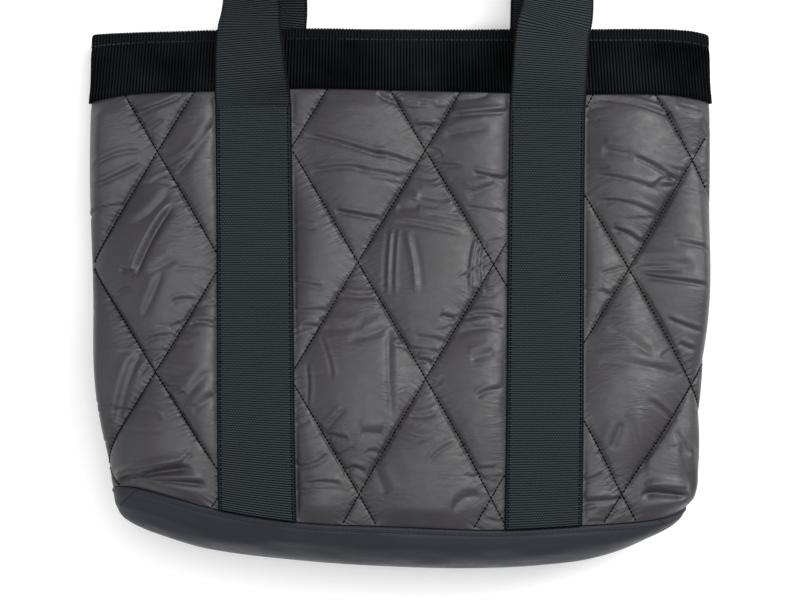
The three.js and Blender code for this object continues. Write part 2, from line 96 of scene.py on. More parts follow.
PROFILE = table("along thick girth", [
    (0.00, 1.00, 0.948),
    (0.08, 0.99, 0.960),
    (0.19, 0.95, 0.982),
    (0.45, 0.70, 1.000),
    (0.63, 0.53, 1.000),
    (0.83, 0.41, 0.996),
    (0.88, 0.40, 0.988),
    (0.94, 0.31, 0.983),
    (1.00, 0.22, 0.977),
])
DRAPE = table("across rim band middle seam", [
    (-1.00, -0.014, -0.033, 0.000, 0.074),
    (-0.95, -0.012, -0.024, 0.000, 0.084),
    (-0.85, -0.010, -0.012, 0.000, 0.084),
    (-0.58, -0.006, -0.005, 0.000, 0.037),
    (-0.32, -0.002, 0.000, 0.000, 0.010),
    (0.00, -0.004, -0.004, 0.000, 0.000),
    (0.30, -0.004, -0.009, -0.002, -0.007),
    (0.60, -0.003, -0.013, -0.007, 0.002),
    (0.84, -0.002, -0.013, -0.018, 0.013),
    (0.94, -0.006, -0.022, -0.026, 0.032),
    (1.00, -0.014, -0.033, -0.034, 0.048),
])
SWELL = table("across swell", [
    (-1.00, -0.14),
    (-0.85, 0.23),
    (-0.66, 0.60),
    (-0.32, 0.87),
    (0.00, 1.00),
    (0.33, 1.02),
    (0.60, 0.88),
    (0.74, 0.66),
    (0.86, 0.32),
    (1.00, -0.10),
])
RIDGE_SHARE = 0.94
FRONT_ARCH = [
    (-1.00, 0.000, 0.43, 0),
    (-1.01, 0.066, 0.49, 16),
    (-1.02, 0.160, 0.42, 28),
    (-1.01, 0.226, 0.33, 37),
    (-1.03, 0.400, 0.16, 60),
    (-0.95, 0.640, 0.03, 80),
    (-0.66, 0.870, 0.01, 89),
    (0.00, 0.995, 0.01, 90),
    (0.68, 0.875, 0.01, 89),
    (1.00, 0.660, 0.03, 78),
    (1.11, 0.420, 0.18, 48),
    (1.07, 0.230, 0.38, 16),
    (1.03, 0.160, 0.46, 8),
    (1.01, 0.066, 0.51, 4),
    (1.00, 0.000, 0.43, 0),
]
BACK_ARCH = [
    (-1.00, 0.000, 0.040, 0),
    (-0.99, 0.030, 0.006, 0),
    (-0.95, 0.110, 0.006, 0),
    (-0.91, 0.190, 0.006, 0),
    (-0.90, 0.270, 0.006, 12),
    (-0.93, 0.400, 0.006, 48),
    (-0.86, 0.620, 0.006, 76),
    (-0.61, 0.850, 0.006, 88),
    (0.00, 0.972, 0.006, 90),
    (0.64, 0.853, 0.006, 88),
    (0.94, 0.642, 0.006, 76),
    (1.03, 0.420, 0.006, 45),
    (1.02, 0.270, 0.006, 12),
    (1.02, 0.190, 0.006, 0),
    (1.01, 0.110, 0.006, 0),
    (1.00, 0.030, 0.006, 0),
    (1.00, 0.000, 0.040, 0),
]


def lerp(a, b, t):
    return a + (b - a) * t


def smoothstep(x, low, high):
    t = np.clip((x - low) / (high - low), 0, 1)
    return t * t * (3 - 2 * t)


def read_table(rows, column, at):
    """A smooth curve through one column of a table."""
    x = rows["place"]
    v = rows[column]
    last = len(x) - 1
    at = np.clip(at, x[0], x[-1])
    i = np.clip(np.searchsorted(x, at) - 1, 0, last - 1)
    before = np.maximum(np.arange(last + 1) - 1, 0)
    after = np.minimum(np.arange(last + 1) + 1, last)
    slope = (v[after] - v[before]) / (x[after] - x[before])
    span = x[i + 1] - x[i]
    t = (at - x[i]) / span
    blend = t * t * (3 - 2 * t)
    lean = span * t * (1 - t) * ((1 - t) * slope[i] - t * slope[i + 1])
    return lerp(v[i], v[i + 1], blend) + lean


# Cross-sections of the bag, solved at even places along it.
SECTION_STEPS = 96
SECTION_SPACING = 5
SAMPLE = 0.5  # spacing of the places kept along a section


def solve_sections():
    angle = np.linspace(0, np.pi / 2, SECTION_STEPS + 1)
    sine = np.sin(angle) ** (2 / SECTION_POWER)
    cosine = np.maximum(np.cos(angle), 0) ** (2 / SECTION_POWER)
    kept = np.arange(0, REACH + SAMPLE, SAMPLE)
    xs, zs, depths = [], [], []
    for number in range(int(RIM_Y / SECTION_SPACING) + 2):
        along = number * SECTION_SPACING / RIM_Y
        half_depth = LYING_DEPTH / 2 * float(read_table(PROFILE, "thick", along))
        girth = float(read_table(PROFILE, "girth", along))
        low, high = 0, REACH
        for _ in range(30):
            middle = (low + high) / 2
            length = np.hypot(np.diff(middle * sine), np.diff(half_depth * cosine)).sum()
            if length < REACH * girth:
                low = middle
            else:
                high = middle
        x = low * sine
        z = half_depth * cosine
        run = np.concatenate([[0], np.cumsum(np.hypot(np.diff(x), np.diff(z)))])
        target = np.minimum(kept * girth, run[-1])
        xs.append(np.interp(target, run, x))
        zs.append(np.interp(target, run, z))
        depths.append(half_depth)
    return np.array(xs), np.array(zs), np.array(depths)


SECTION_X, SECTION_Z, SECTION_DEPTH = solve_sections()


def cloth_y(s, down):
    """Where a place on the cloth lies along the bag; down is 0 at the band, 1 at the base seam."""
    across = s / REACH
    rim, band, middle, seam = (
        PANEL_HEIGHT * read_table(DRAPE, name, across) for name in ("rim", "band", "middle", "seam")
    )
    on_band = lerp(BAND_Y + band, RIM_Y + rim, -down)
    sag = band * (1 - down) ** 2 + middle * 4 * down * (1 - down) + seam * down ** 4
    return np.where(down < 0, on_band, BAND_Y * (1 - down) + sag)


def cloth_place(face, s, down):
    """A place on the stitched cloth. Past a side seam it runs on round the other face."""
    s, down = np.broadcast_arrays(np.asarray(s, float), np.asarray(down, float))
    past = np.abs(s) > REACH
    side = np.where(past, -face, face)
    s = np.where(past, np.sign(s) * (2 * REACH - np.abs(s)), s)
    y = cloth_y(s, down)
    number = np.clip(y, 0, RIM_Y) / SECTION_SPACING
    low = np.floor(number).astype(int)
    t = number - low
    reach = np.abs(s) / SAMPLE
    k = np.minimum(np.floor(reach).astype(int), SECTION_X.shape[1] - 2)
    f = reach - k

    def read(grid):
        near = lerp(grid[low, k], grid[low, k + 1], f)
        far = lerp(grid[low + 1, k], grid[low + 1, k + 1], f)
        return lerp(near, far, t)

    middle = REST_HEIGHT + lerp(SECTION_DEPTH[low], SECTION_DEPTH[low + 1], t)
    return np.stack([np.sign(s) * read(SECTION_X), y, middle + side * read(SECTION_Z)], -1)


FEELER = 2


def unit(v):
    return v / np.maximum(np.linalg.norm(v, axis=-1, keepdims=True), 1e-9)


def cloth_out(face, s, down):
    """The direction out of the cloth."""
    step = FEELER / PANEL_HEIGHT
    across = cloth_place(face, s + FEELER, down) - cloth_place(face, s - FEELER, down)
    up = cloth_place(face, s, down - step) - cloth_place(face, s, np.minimum(down + step, 1))
    return unit(np.cross(across, up) * face)


def on_floor(points):
    points = np.array(points)
    points[..., 2] = np.maximum(points[..., 2], 0)
    return points


def cloth_point(face, s, down, rise):
    """A place that stands out from the stitched cloth by rise, and never under the floor."""
    out = cloth_out(face, s, down)
    return on_floor(cloth_place(face, s, down) + out * np.asarray(rise)[..., None])


def leg_place(side, down, outward):
    """A place on a sewn leg, outward from its middle line; side is -1 left and 1 right."""
    middle = lerp(HANDLE_SPACING_TOP, HANDLE_SPACING_BASE, down) / 2
    girth = read_table(PROFILE, "girth", cloth_y(side * middle, down) / RIM_Y)
    return side * (middle + outward) / girth


# Meshes.
def plain_mesh(name, points, faces, uv=None, attributes=None):
    """A mesh object from places in millimetres and lists of corners, closed meshes facing out."""
    points = np.asarray(points, float).reshape(-1, 3) + (0, BASE_SEAM_Y, 0)
    corners = np.concatenate([np.asarray(group).reshape(-1) for group in faces])
    sizes = np.concatenate([np.full(len(group), group.shape[1]) for group in faces])
    mesh = bpy.data.meshes.new(name)
    mesh.vertices.add(len(points))
    mesh.vertices.foreach_set("co", (points * 0.001).astype(np.float32).reshape(-1))
    mesh.loops.add(len(corners))
    mesh.loops.foreach_set("vertex_index", corners.astype(np.int32))
    mesh.polygons.add(len(sizes))
    starts = np.concatenate([[0], np.cumsum(sizes)[:-1]])
    mesh.polygons.foreach_set("loop_start", starts.astype(np.int32))
    mesh.polygons.foreach_set("use_smooth", np.ones(len(sizes), bool))
    mesh.update(calc_edges=True)
    if uv is not None:
        layer = mesh.uv_layers.new(name="cloth")
        layer.data.foreach_set("uv", np.asarray(uv, np.float32)[corners].reshape(-1))
    for key, values in (attributes or {}).items():
        layer = mesh.attributes.new(key, "FLOAT", "POINT")
        layer.data.foreach_set("value", np.asarray(values, np.float32))
    mesh.validate()
    obj = bpy.data.objects.new(name, mesh)
    bpy.context.scene.collection.objects.link(obj)
    return obj


def facing_out(points, faces):
    """The same faces, all turned over if the closed shape they make is inside out."""
    volume = 0
    points = np.asarray(points, float).reshape(-1, 3)
    for group in faces:
        for k in range(1, group.shape[1] - 1):
            a, b, c = points[group[:, 0]], points[group[:, k]], points[group[:, k + 1]]
            volume += np.einsum("ij,ij->", a, np.cross(b, c))
    return faces if volume > 0 else [group[:, ::-1] for group in faces]


def number_grid(rows, columns, first=0):
    return first + np.arange(rows * columns).reshape(rows, columns)


def quads(numbers):
    """Four-sided faces of a grid of point numbers."""
    a, b = numbers[:-1, :-1], numbers[1:, :-1]
    c, d = numbers[1:, 1:], numbers[:-1, 1:]
    return np.stack([a, b, c, d], -1).reshape(-1, 4)


def cut_cells(numbers, rising):
    """Three-sided faces of a grid; rising says where the cut runs up to the right."""
    a, b = numbers[:-1, :-1].reshape(-1), numbers[1:, :-1].reshape(-1)
    c, d = numbers[1:, 1:].reshape(-1), numbers[:-1, 1:].reshape(-1)
    up = rising.reshape(-1)
    first = np.where(up[:, None], np.stack([a, b, d], -1), np.stack([a, b, c], -1))
    second = np.where(up[:, None], np.stack([b, c, d], -1), np.stack([a, c, d], -1))
    return np.concatenate([first, second])


def link(fine, coarse):
    """A strip of faces between an edge and a coarser one that starts and ends beside it."""
    faces = []
    share = (len(fine) - 1) / (len(coarse) - 1)
    for i in range(len(coarse) - 1):
        low, high = round(i * share), round((i + 1) * share)
        half = (low + high) // 2
        faces += [(fine[j], coarse[i], fine[j + 1]) for j in range(low, half)]
        faces.append((fine[half], coarse[i], coarse[i + 1]))
        faces += [(fine[j], coarse[i + 1], fine[j + 1]) for j in range(half, high)]
    return np.array(faces)


def thinned(count, step):
    """Numbers of every few places of a line, and always its last."""
    places = list(range(0, count - 1, step))
    return np.array(places + [count - 1])


def shell(outside, inside, cut=None):
    """Points and faces of a wall between a fine outside and a coarse inside."""
    rows, columns = outside.shape[:2]
    numbers = number_grid(rows, columns)
    inner = number_grid(*inside.shape[:2], first=rows * columns)
    faces = [quads(numbers) if cut is None else cut_cells(numbers, cut), quads(inner)[:, ::-1]]
    edges = [
        (numbers[0][::-1], inner[0][::-1]),
        (numbers[-1], inner[-1]),
        (numbers[:, 0], inner[:, 0]),
        (numbers[:, -1][::-1], inner[:, -1][::-1]),
    ]
    faces += [link(fine, coarse) for fine, coarse in edges]
    points = np.concatenate([outside.reshape(-1, 3), inside.reshape(-1, 3)])
    return points, [np.asarray(group) for group in faces]


def pinch_lines(s, down_mm):
    """How far a place is, in whole diamonds, along each of the two families of stitch lines."""
    across = (s - CROSSING_ACROSS) / DIAMOND_WIDTH
    down = (down_mm - CROSSING_DOWN) / DIAMOND_HEIGHT
    return across + down, across - down


LINE_SPACING = 1 / math.hypot(1 / DIAMOND_WIDTH, 1 / DIAMOND_HEIGHT)


def line_distance(s, down_mm):
    """Millimetres to the nearest stitch line."""
    one, other = pinch_lines(s, down_mm)
    off = np.minimum(np.abs(one - np.round(one)), np.abs(other - np.round(other)))
    return off * LINE_SPACING


def beyond_legs(s, down_mm):
    """Millimetres past the edge of the nearer sewn leg, below 0 under it."""
    down = down_mm / PANEL_HEIGHT
    gaps = []
    for side in (-1, 1):
        middle = leg_place(side, down, 0)
        half = np.abs(leg_place(side, down, WEBBING_WIDTH / 2) - middle)
        gaps.append(np.abs(s - middle) - half)
    return np.minimum(*gaps)


def puff_share(s, down_mm):
    """How far the padding swells, as a share of its full rise."""
    one, other = pinch_lines(s, down_mm)
    pillow = np.abs(np.sin(np.pi * one) * np.sin(np.pi * other)) ** PUFF_POWER
    variety = 1 + 0.1 * np.sin(12.9 * np.floor(one) + 7.8 * np.floor(other))
    sides = smoothstep(REACH - np.abs(s), 0, SEAM_PINCH)
    ends = np.sqrt(smoothstep(np.minimum(down_mm, PANEL_HEIGHT - down_mm), 0, SEAM_PINCH))
    legs = 1 - np.exp(-np.maximum(beyond_legs(s, down_mm) - LEG_MARGIN, 0) / LEG_EASE)
    return pillow * variety * sides * ends * legs


# Folds in the front cloth: the place of each end, in millimetres across from the middle and
# down from the band, then the bow to one side, the half width and the depth.
FOLDS = [
    (-15, 3, 0, 9, 1.0, 1.5, 1.7), (12, 9, 24, 11, -0.8, 1.5, 1.1),
    (4, 13, 30, 12, 0.5, 1.2, 0.8), (10, 25, 23, 25, -0.7, 1.5, 1.7),
    (34, 17, 71, 13, 0.6, 1.5, 1.7), (39, 5, 60, 1, 1.5, 1.5, 1.1),
    (-62, 31, -11, 46, 0.0, 1.5, 1.7), (-18, 44, 8, 50, -1.3, 1.5, 1.7),
    (-58, 56, -21, 55, -2.0, 1.5, 1.1), (-28, 55, 3, 59, -0.1, 1.5, 1.1),
    (-42, 82, -13, 87, 0.3, 1.5, 1.7), (-2, 89, 38, 96, -0.4, 1.5, 1.1),
    (-68, 91, -55, 94, 0.0, 1.2, 0.8), (-2, 79, 12, 79, 0.0, 3.0, 1.2),
    (18, 83, 41, 86, 0.0, 1.2, 0.8), (8, 57, 25, 58, 1.5, 1.2, 0.8),
    (12, 71, 32, 72, 1.0, 3.0, 1.2), (48, 56, 69, 59, 0.3, 1.5, 1.7),
    (44, 70, 65, 61, 0.9, 3.0, 1.2), (44, 78, 70, 81, 0.5, 1.2, 0.8),
    (30, 30, 57, 25, 0.0, 3.0, 1.2), (-68, 129, -50, 133, 0.1, 1.5, 1.1),
    (-40, 136, -15, 137, 1.2, 1.5, 1.7), (-6, 95, -8, 135, 0.5, 1.3, -1.1),
    (-1, 94, -3, 136, 0.6, 1.3, -0.9), (4, 97, 10, 135, -1.2, 2.0, -1.2),
    (50, 97, 46, 135, 2.0, 1.2, -1.0), (54, 100, 54, 134, 3.1, 1.2, -0.8),
    (-68, 147, -48, 147, 0.3, 1.5, 1.1),
    (-65, 158, -54, 158, -1.0, 1.5, 1.1), (-50, 158, -25, 159, 0.6, 3.0, 1.2),
    (-33, 166, -9, 158, 1.5, 3.0, 1.2), (-7, 159, -5, 217, 1.1, 2.4, 1.3),
    (-52, 163, -44, 190, -0.8, 1.2, 0.8), (-61, 182, -61, 208, -1.0, 1.2, 0.8),
    (-50, 226, -36, 211, -0.7, 1.5, 1.1), (-49, 227, -34, 230, -0.2, 1.5, 1.1),
    (-26, 226, -11, 226, 0.0, 3.0, 1.2), (-42, 241, -30, 235, 0.0, 1.2, 0.8),
    (-37, 251, -23, 251, -2.9, 1.5, 1.7), (-63, 260, -39, 259, -1.6, 1.5, 1.7),
    (-69, 265, -37, 262, -1.3, 1.5, 1.1), (-69, 248, -48, 240, 2.6, 1.5, 1.1),
    (-68, 221, -60, 218, 0.0, 1.2, 0.8), (10, 164, 29, 167, -1.0, 1.5, 1.1),
    (11, 179, 21, 181, -1.2, 1.5, 1.7), (6, 214, 23, 212, 1.2, 1.5, 1.1),
    (26, 150, 36, 152, 0.0, 1.5, 1.7), (42, 151, 67, 151, -2.1, 1.5, 1.7),
    (36, 161, 65, 153, 0.4, 3.0, 1.2), (46, 178, 61, 173, 0.0, 3.0, 1.2),
    (49, 202, 66, 196, -1.1, 1.5, 1.1), (52, 247, 63, 246, 0.0, 1.2, 0.8),
    (54, 254, 65, 255, 0.0, 1.2, 0.8), (19, 243, 35, 231, -1.6, 1.2, 0.8),
    (-17, 248, -9, 264, 0.0, 3.0, 1.2), (35, 273, 54, 264, -3.8, 3.0, 1.2),
    (-175, 15, -146, 4, 0.3, 1.5, 1.7), (-200, 47, -171, 40, -2.2, 1.5, 1.1),
    (-199, 61, -171, 49, 1.1, 1.5, 1.1), (-167, 25, -157, 19, 0.0, 1.5, 1.1),
    (-147, 58, -122, 21, 1.0, 3.0, 1.2), (-152, 49, -134, 37, 1.2, 1.5, 1.1),
    (-147, 55, -138, 47, 0.0, 1.2, 0.8), (-149, 78, -171, 124, 1.6, 2.4, 3.0),
    (-182, 120, -172, 124, 0.0, 1.5, 1.7), (-184, 138, -174, 134, -2.2, 1.5, 1.1),
    (-154, 123, -167, 152, -0.7, 2.4, 1.3), (-146, 114, -162, 124, 0.0, 3.0, 1.2),
    (-148, 143, -133, 141, -1.5, 1.5, 1.1), (-137, 157, -120, 157, -2.2, 1.5, 1.7),
    (-164, 61, -149, 53, 0.0, 1.2, 0.8), (-152, 68, -176, 90, -3.2, 3.0, 1.2),
    (-166, 170, -149, 165, -1.4, 1.5, 1.1), (-161, 184, -154, 179, 0.0, 1.2, 0.8),
    (-150, 160, -143, 157, 0.0, 1.2, 0.8), (-169, 174, -186, 230, 0.9, 2.4, 1.3),
    (-174, 180, -188, 230, 1.1, 2.4, 1.3), (-170, 193, -166, 186, 0.0, 1.2, 0.8),
    (-147, 206, -140, 204, 0.0, 1.5, 1.1), (-154, 201, -143, 201, 0.0, 1.5, 1.1),
    (-143, 214, -124, 188, -0.9, 3.0, 1.2), (-136, 216, -121, 204, 0.2, 3.0, 1.2),
    (-170, 218, -156, 224, -1.7, 1.5, 1.1), (-146, 256, -137, 246, 0.0, 1.2, 0.8),
    (-190, 276, -172, 263, 0.0, 1.2, 0.8), (-192, 282, -140, 257, -1.1, 3.2, 4.2),
    (-164, 275, -131, 268, -1.0, 2.4, 3.0), (132, 3, 179, 14, -1.4, 1.5, 1.7),
    (183, 8, 200, 10, -0.3, 1.5, 1.1), (133, 38, 152, 42, 0.0, 3.0, 1.2),
    (152, 42, 183, 56, -0.6, 1.5, 1.7), (130, 55, 170, 64, -1.2, 1.5, 1.1),
    (130, 72, 169, 80, -2.8, 1.5, 1.1), (139, 90, 158, 99, -1.5, 1.5, 1.7),
    (156, 119, 198, 122, 1.3, 1.5, 1.7), (179, 96, 200, 97, 0.1, 1.5, 1.1),
    (174, 147, 196, 153, 0.9, 1.5, 1.1), (130, 130, 136, 134, 0.0, 1.2, 0.8),
    (123, 48, 137, 49, 0.0, 1.2, 0.8), (123, 17, 131, 18, 0.0, 1.2, 0.8),
    (156, 111, 189, 111, 0.0, 3.0, 1.2), (182, 163, 192, 166, 0.0, 1.5, 1.1),
    (135, 156, 163, 173, -1.3, 3.0, 1.2), (131, 178, 183, 184, -1.2, 3.0, 1.2),
    (161, 202, 182, 215, -0.3, 1.5, 1.1), (148, 211, 164, 251, 1.0, 3.0, 1.2),
    (144, 218, 139, 234, 0.0, 3.0, 1.2), (178, 166, 169, 173, 0.0, 1.2, 0.8),
    (181, 222, 191, 239, 0.0, 1.5, 1.1), (185, 232, 195, 271, 0.0, 2.4, 1.3),
    (120, 256, 135, 251, 0.8, 1.5, 1.1), (163, 265, 191, 271, -2.0, 3.2, 4.2),
    (122, 270, 151, 268, 0.3, 1.5, 1.7), (123, 267, 140, 267, 0.6, 1.5, 1.1),
    (122, 276, 133, 274, 0.0, 1.2, 0.8), (139, 283, 147, 277, 0.0, 1.2, 0.8),
]
FOLD_REACH = 5  # how many half widths from its line a fold is worked out
FOLD_RIDGE = 0.55  # height of the soft ridge beside a fold, as a share of its depth
RIDGE_OFF = 1.9  # how many half widths beside the fold it lies
RIDGE_WIDTH = 1.2  # and how many it is wide
SHORTEST_FOLD = 10
LONGEST_FOLD = 34


def stray_folds(seed, count):
    """Seeded small folds that start at a stitch line and run mostly across."""
    draw = np.random.default_rng(seed)
    folds = []
    for _ in range(count):
        x, y = draw.uniform(-REACH, REACH), draw.uniform(0, PANEL_HEIGHT)
        line = pinch_lines(x, y)[0]
        y -= (line - round(line)) * DIAMOND_HEIGHT
        length = draw.uniform(SHORTEST_FOLD, LONGEST_FOLD) * draw.choice([-1, 1])
        drop = abs(length) * draw.normal(0.12, 0.22)
        size = draw.uniform(0.6, 1.5)
        folds.append((x, y, x + length, y + drop, draw.normal(0, 1.2), 0.6 + 0.5 * size, size * 0.6))
    return folds


def fold_depth(folds, s, down_mm):
    """How far folds pull the cloth in, with a low ridge along their upper side."""
    depth = np.zeros_like(s)
    columns, rows = s[0], down_mm[:, 0]
    for x0, y0, x1, y1, bow, width, deep in folds:
        run = np.array([x1 - x0, y1 - y0])
        length = np.hypot(*run)
        reach = FOLD_REACH * width + abs(bow)
        near = np.ix_(
            (rows > min(y0, y1) - reach) & (rows < max(y0, y1) + reach),
            (columns > min(x0, x1) - reach) & (columns < max(x0, x1) + reach),
        )
        x, y = s[near] - x0, down_mm[near] - y0
        along = (x * run[0] + y * run[1]) / length ** 2
        off = (y * run[0] - x * run[1]) / length
        if run[0] < 0:
            off = -off
            bow = -bow
        off = off - bow * 4 * np.clip(along, 0, 1) * (1 - np.clip(along, 0, 1))
        past = np.maximum(np.maximum(-along, along - 1), 0) * length
        ends = np.exp(-((past / width) ** 2)) * np.clip(0.3 + 6 * along * (1 - along), 0, 1)
        valley = np.exp(-((np.abs(off) / width) ** 1.5))
        ridge = np.exp(-(((off + RIDGE_OFF * width) / (RIDGE_WIDTH * width)) ** 2))
        depth[near] += deep * ends * (valley - FOLD_RIDGE * ridge)
    return depth


def wavy(shape, seed, reach_rows, reach_columns):
    """Seeded noise from -1 to 1, smoothed over a number of rows and columns."""
    noise = np.random.default_rng(seed).normal(size=shape)
    for axis, reach in ((0, reach_rows), (1, reach_columns)):
        kernel = np.hanning(2 * reach + 3)[1:-1]
        noise = np.apply_along_axis(lambda line: np.convolve(line, kernel, mode="same"), axis, noise)
    return noise / np.abs(noise).max()


def bend(points):
    """How far each place is from the middle of its four neighbours."""
    sides = np.zeros_like(points)
    sides[1:-1, 1:-1] = (
        points[2:, 1:-1] + points[:-2, 1:-1] + points[1:-1, 2:] + points[1:-1, :-2]
    ) / 4 - points[1:-1, 1:-1]
    return sides


SETTLE_ROUNDS = 260
FIRST_BUMPS = 0.5
SLANTING_PULL = 0.4
ALONG_SLACK = 0.6  # share of the extra length that the cloth has along its rows
STRETCH_BACK = 0.42  # share of each stretch that a round takes back
STIFFNESS = 0.16  # how much the cloth resists a bend
PADDING_HOLD = 0.025  # how much the padding holds the cloth in or out
PADDING_GRIP = 0.01  # and how much it keeps the cloth from slipping
MOST_RISE = 1.6
SLIP_KEPT = 0.6


def settle(start, out, held, give, seed):
    """Cloth finds its folds: it is a little longer than its padding and held where it is sewn."""
    start = start.astype(np.float32)
    out = out.astype(np.float32)
    noise = wavy(start.shape[:2], seed, 2, 16)[..., None].astype(np.float32)
    points = start + out * noise * FIRST_BUMPS
    points[held] = start[held]
    pairs = []
    for rows, columns, pull in ((0, 1, 1.0), (1, 0, 1.0), (1, 1, SLANTING_PULL), (1, -1, SLANTING_PULL)):
        near = (slice(0, start.shape[0] - rows), slice(max(-columns, 0), start.shape[1] - max(columns, 0)))
        far = (slice(rows, None), slice(max(columns, 0), start.shape[1] + min(columns, 0)))
        length = np.linalg.norm(start[far] - start[near], axis=-1)
        slack = 1 + (give[far] + give[near]) / 2 * (1.0 if rows else ALONG_SLACK)
        pairs.append((near, far, (length * slack).astype(np.float32), pull))
    for _ in range(SETTLE_ROUNDS):
        move = np.zeros_like(points)
        for near, far, rest, pull in pairs:
            edge = points[far] - points[near]
            length = np.linalg.norm(edge, axis=-1)
            push = edge * (0.5 * pull * (1 - rest / np.maximum(length, 1e-6)))[..., None]
            move[near] += push
            move[far] -= push
        points += STRETCH_BACK * move
        points -= STIFFNESS * bend(bend(points))
        off = points - start
        rise = (off * out).sum(-1, keepdims=True)
        points -= PADDING_HOLD * rise * out + PADDING_GRIP * (off - rise * out)
        points[held] = start[held]
    off = points - start
    lift = (off * out).sum(-1, keepdims=True)
    rise = np.clip(lift, -MOST_RISE, MOST_RISE)
    return (start + rise * out + SLIP_KEPT * (off - lift * out)).astype(float)


def grid_places(low, high, start, step):
    """Even places on the quilting's own grid, with the piece's two edges added."""
    first = math.ceil((low - start) / step + 0.4)
    last = math.floor((high - start) / step - 0.4)
    return np.array([low] + [start + i * step for i in range(first, last + 1)] + [high])


LINE_HELD = 0.35  # cloth this near a stitch line doesn't move
LEG_HELD = 0.6  # nor this near a sewn leg
EDGE_HELD = 0.9  # nor this near the piece's edges
EVEN_GIVE = 0.012  # extra length of the cloth everywhere
LINE_GIVE = 0.05  # and more of it at a stitch line
LINE_GIVE_REACH = 7
LEG_GIVE = 0.03  # and beside a sewn leg
LEG_GIVE_REACH = 6
INSIDE_STEP = 4  # the plain inside keeps every few places of the outside


def quilted_panel(name, face, rise, cells, strays, seed):
    """A quilted panel, as a closed wall with puffs, puckers and folds on its outside."""
    columns = grid_places(-REACH, REACH, CROSSING_ACROSS, DIAMOND_WIDTH / 2 / cells)
    rows = grid_places(GAP, PANEL_HEIGHT, CROSSING_DOWN, DIAMOND_HEIGHT / 2 / cells)
    s, d = np.meshgrid(columns, rows)
    down = d / PANEL_HEIGHT
    out = cloth_out(face, s, down)
    swell = rise * puff_share(s, d)
    base = cloth_place(face, s, down) + (0, 0, face * GAP / 2)
    start = base + out * swell[..., None]
    normal = grid_normals(start, face)
    distance = line_distance(s, d)
    legs = beyond_legs(s, d)
    edge = np.minimum(np.minimum(d, PANEL_HEIGHT - d), REACH - np.abs(s))
    held = (distance < LINE_HELD) | (legs < LEG_HELD) | (edge < EDGE_HELD)
    by_line = LINE_GIVE * np.exp(-distance / LINE_GIVE_REACH)
    by_leg = LEG_GIVE * np.exp(-np.maximum(legs, 0) / LEG_GIVE_REACH)
    give = EVEN_GIVE + by_line + by_leg
    outside = start
    outside = settle(start, normal, held, give, seed)
    by_lines = 0.25 + 0.75 * smoothstep(distance, 0, 2.5)
    calm = np.clip(legs / 2, 0, 1) * np.clip(edge / 2, 0, 1) * by_lines
    depth = fold_depth(stray_folds(seed, strays), s, d)
    if face == FRONT:
        depth += fold_depth(FOLDS, s, d)
    outside = outside - normal * (depth * calm)[..., None]
    outside = on_floor(outside)
    keep_rows, keep_columns = thinned(len(rows), INSIDE_STEP), thinned(len(columns), INSIDE_STEP)
    inner = base - out * QUILT_WALL
    inside = on_floor(inner[np.ix_(keep_rows, keep_columns)])
    one, other = pinch_lines((s[:-1, :-1] + s[1:, 1:]) / 2, (d[:-1, :-1] + d[1:, 1:]) / 2)
    rising = np.abs(one - np.round(one)) < np.abs(other - np.round(other))
    points, faces = shell(outside, inside, rising)
    flat = np.concatenate([
        np.stack([s, d], -1).reshape(-1, 2),
        np.stack([s, d], -1)[np.ix_(keep_rows, keep_columns)].reshape(-1, 2),
    ])
    return plain_mesh(name, points, facing_out(points, faces), uv=flat)


def grid_normals(points, face):
    """Directions out of a grid of places whose rows run down and columns to the right."""
    across = np.gradient(points, axis=1)
    up = -np.gradient(points, axis=0)
    return unit(np.cross(across, up) * face)


# The base swells from its seam out to a rounded ridge line, with a raised seam along its edge.
BASE_COLUMN = 1.6
BASE_ROWS = 34
BASE_INSIDE_ROWS = 6
SEAM_RIDGE = 1.1
SEAM_RIDGE_WIDTH = 1.5
SEAM_RIDGE_IN = 1.4
STITCH_GROOVE = 0.5
STITCH_GROOVE_WIDTH = 0.9
BASE_PUCKER = 0.22
BASE_WAVE = 0.7
BASE_STITCH_IN = 3.4  # from the seam to the row of stitches beside it


def base_point(face, s, angle, rise):
    seam = cloth_point(face, s, np.ones_like(s), rise * np.ones_like(s))
    swell = BASE_BULGE * read_table(SWELL, "swell", s / REACH)
    edge = cloth_place(FRONT, s, np.ones_like(s))
    side = cloth_place(FRONT, np.where(s < 0, -REACH, REACH), np.ones_like(s))
    ridge_x = edge[..., 0] * RIDGE_SHARE * (1 + rise / REACH)
    x = lerp(ridge_x, seam[..., 0], np.cos(angle))
    y = lerp(seam[..., 1], -swell - rise, np.sin(angle)) - SLANT_GAP
    z = lerp(side[..., 2], seam[..., 2], np.cos(angle))
    return on_floor(np.stack([x, y, z], -1))


def base_outside(face, columns):
    """The outside of half the base, from its seam to its outermost line."""
    angles = np.linspace(0, 1, BASE_ROWS + 1) ** 1.5 * np.pi / 2
    s, angle = np.meshgrid(columns, angles)
    points = base_point(face, s, angle, 0)
    run = np.concatenate([
        np.zeros((1, len(columns))),
        np.cumsum(np.linalg.norm(np.diff(points, axis=0), axis=-1), axis=0),
    ])
    out = grid_normals(points, face)
    ends = smoothstep(REACH - np.abs(s), 0, 10)
    middle = 1 - smoothstep(angle, 1.1, 1.5)
    ridge = SEAM_RIDGE * np.exp(-(((run - SEAM_RIDGE_IN) / SEAM_RIDGE_WIDTH) ** 2))
    groove = STITCH_GROOVE * np.exp(-(((run - BASE_STITCH_IN) / STITCH_GROOVE_WIDTH) ** 2))
    pucker = BASE_PUCKER * wavy(s.shape, 5 + face, 1, 1) * np.exp(-run / 6)
    waves = BASE_WAVE * wavy(s.shape, 8 + face, 4, 16) * np.clip(run / 10, 0, 1)
    rise = (ridge - groove + pucker + waves * middle) * ends * np.clip(run / 0.8, 0, 1)
    return on_floor(points + out * (rise * np.where(run > 0, 1, 0))[..., None]), run


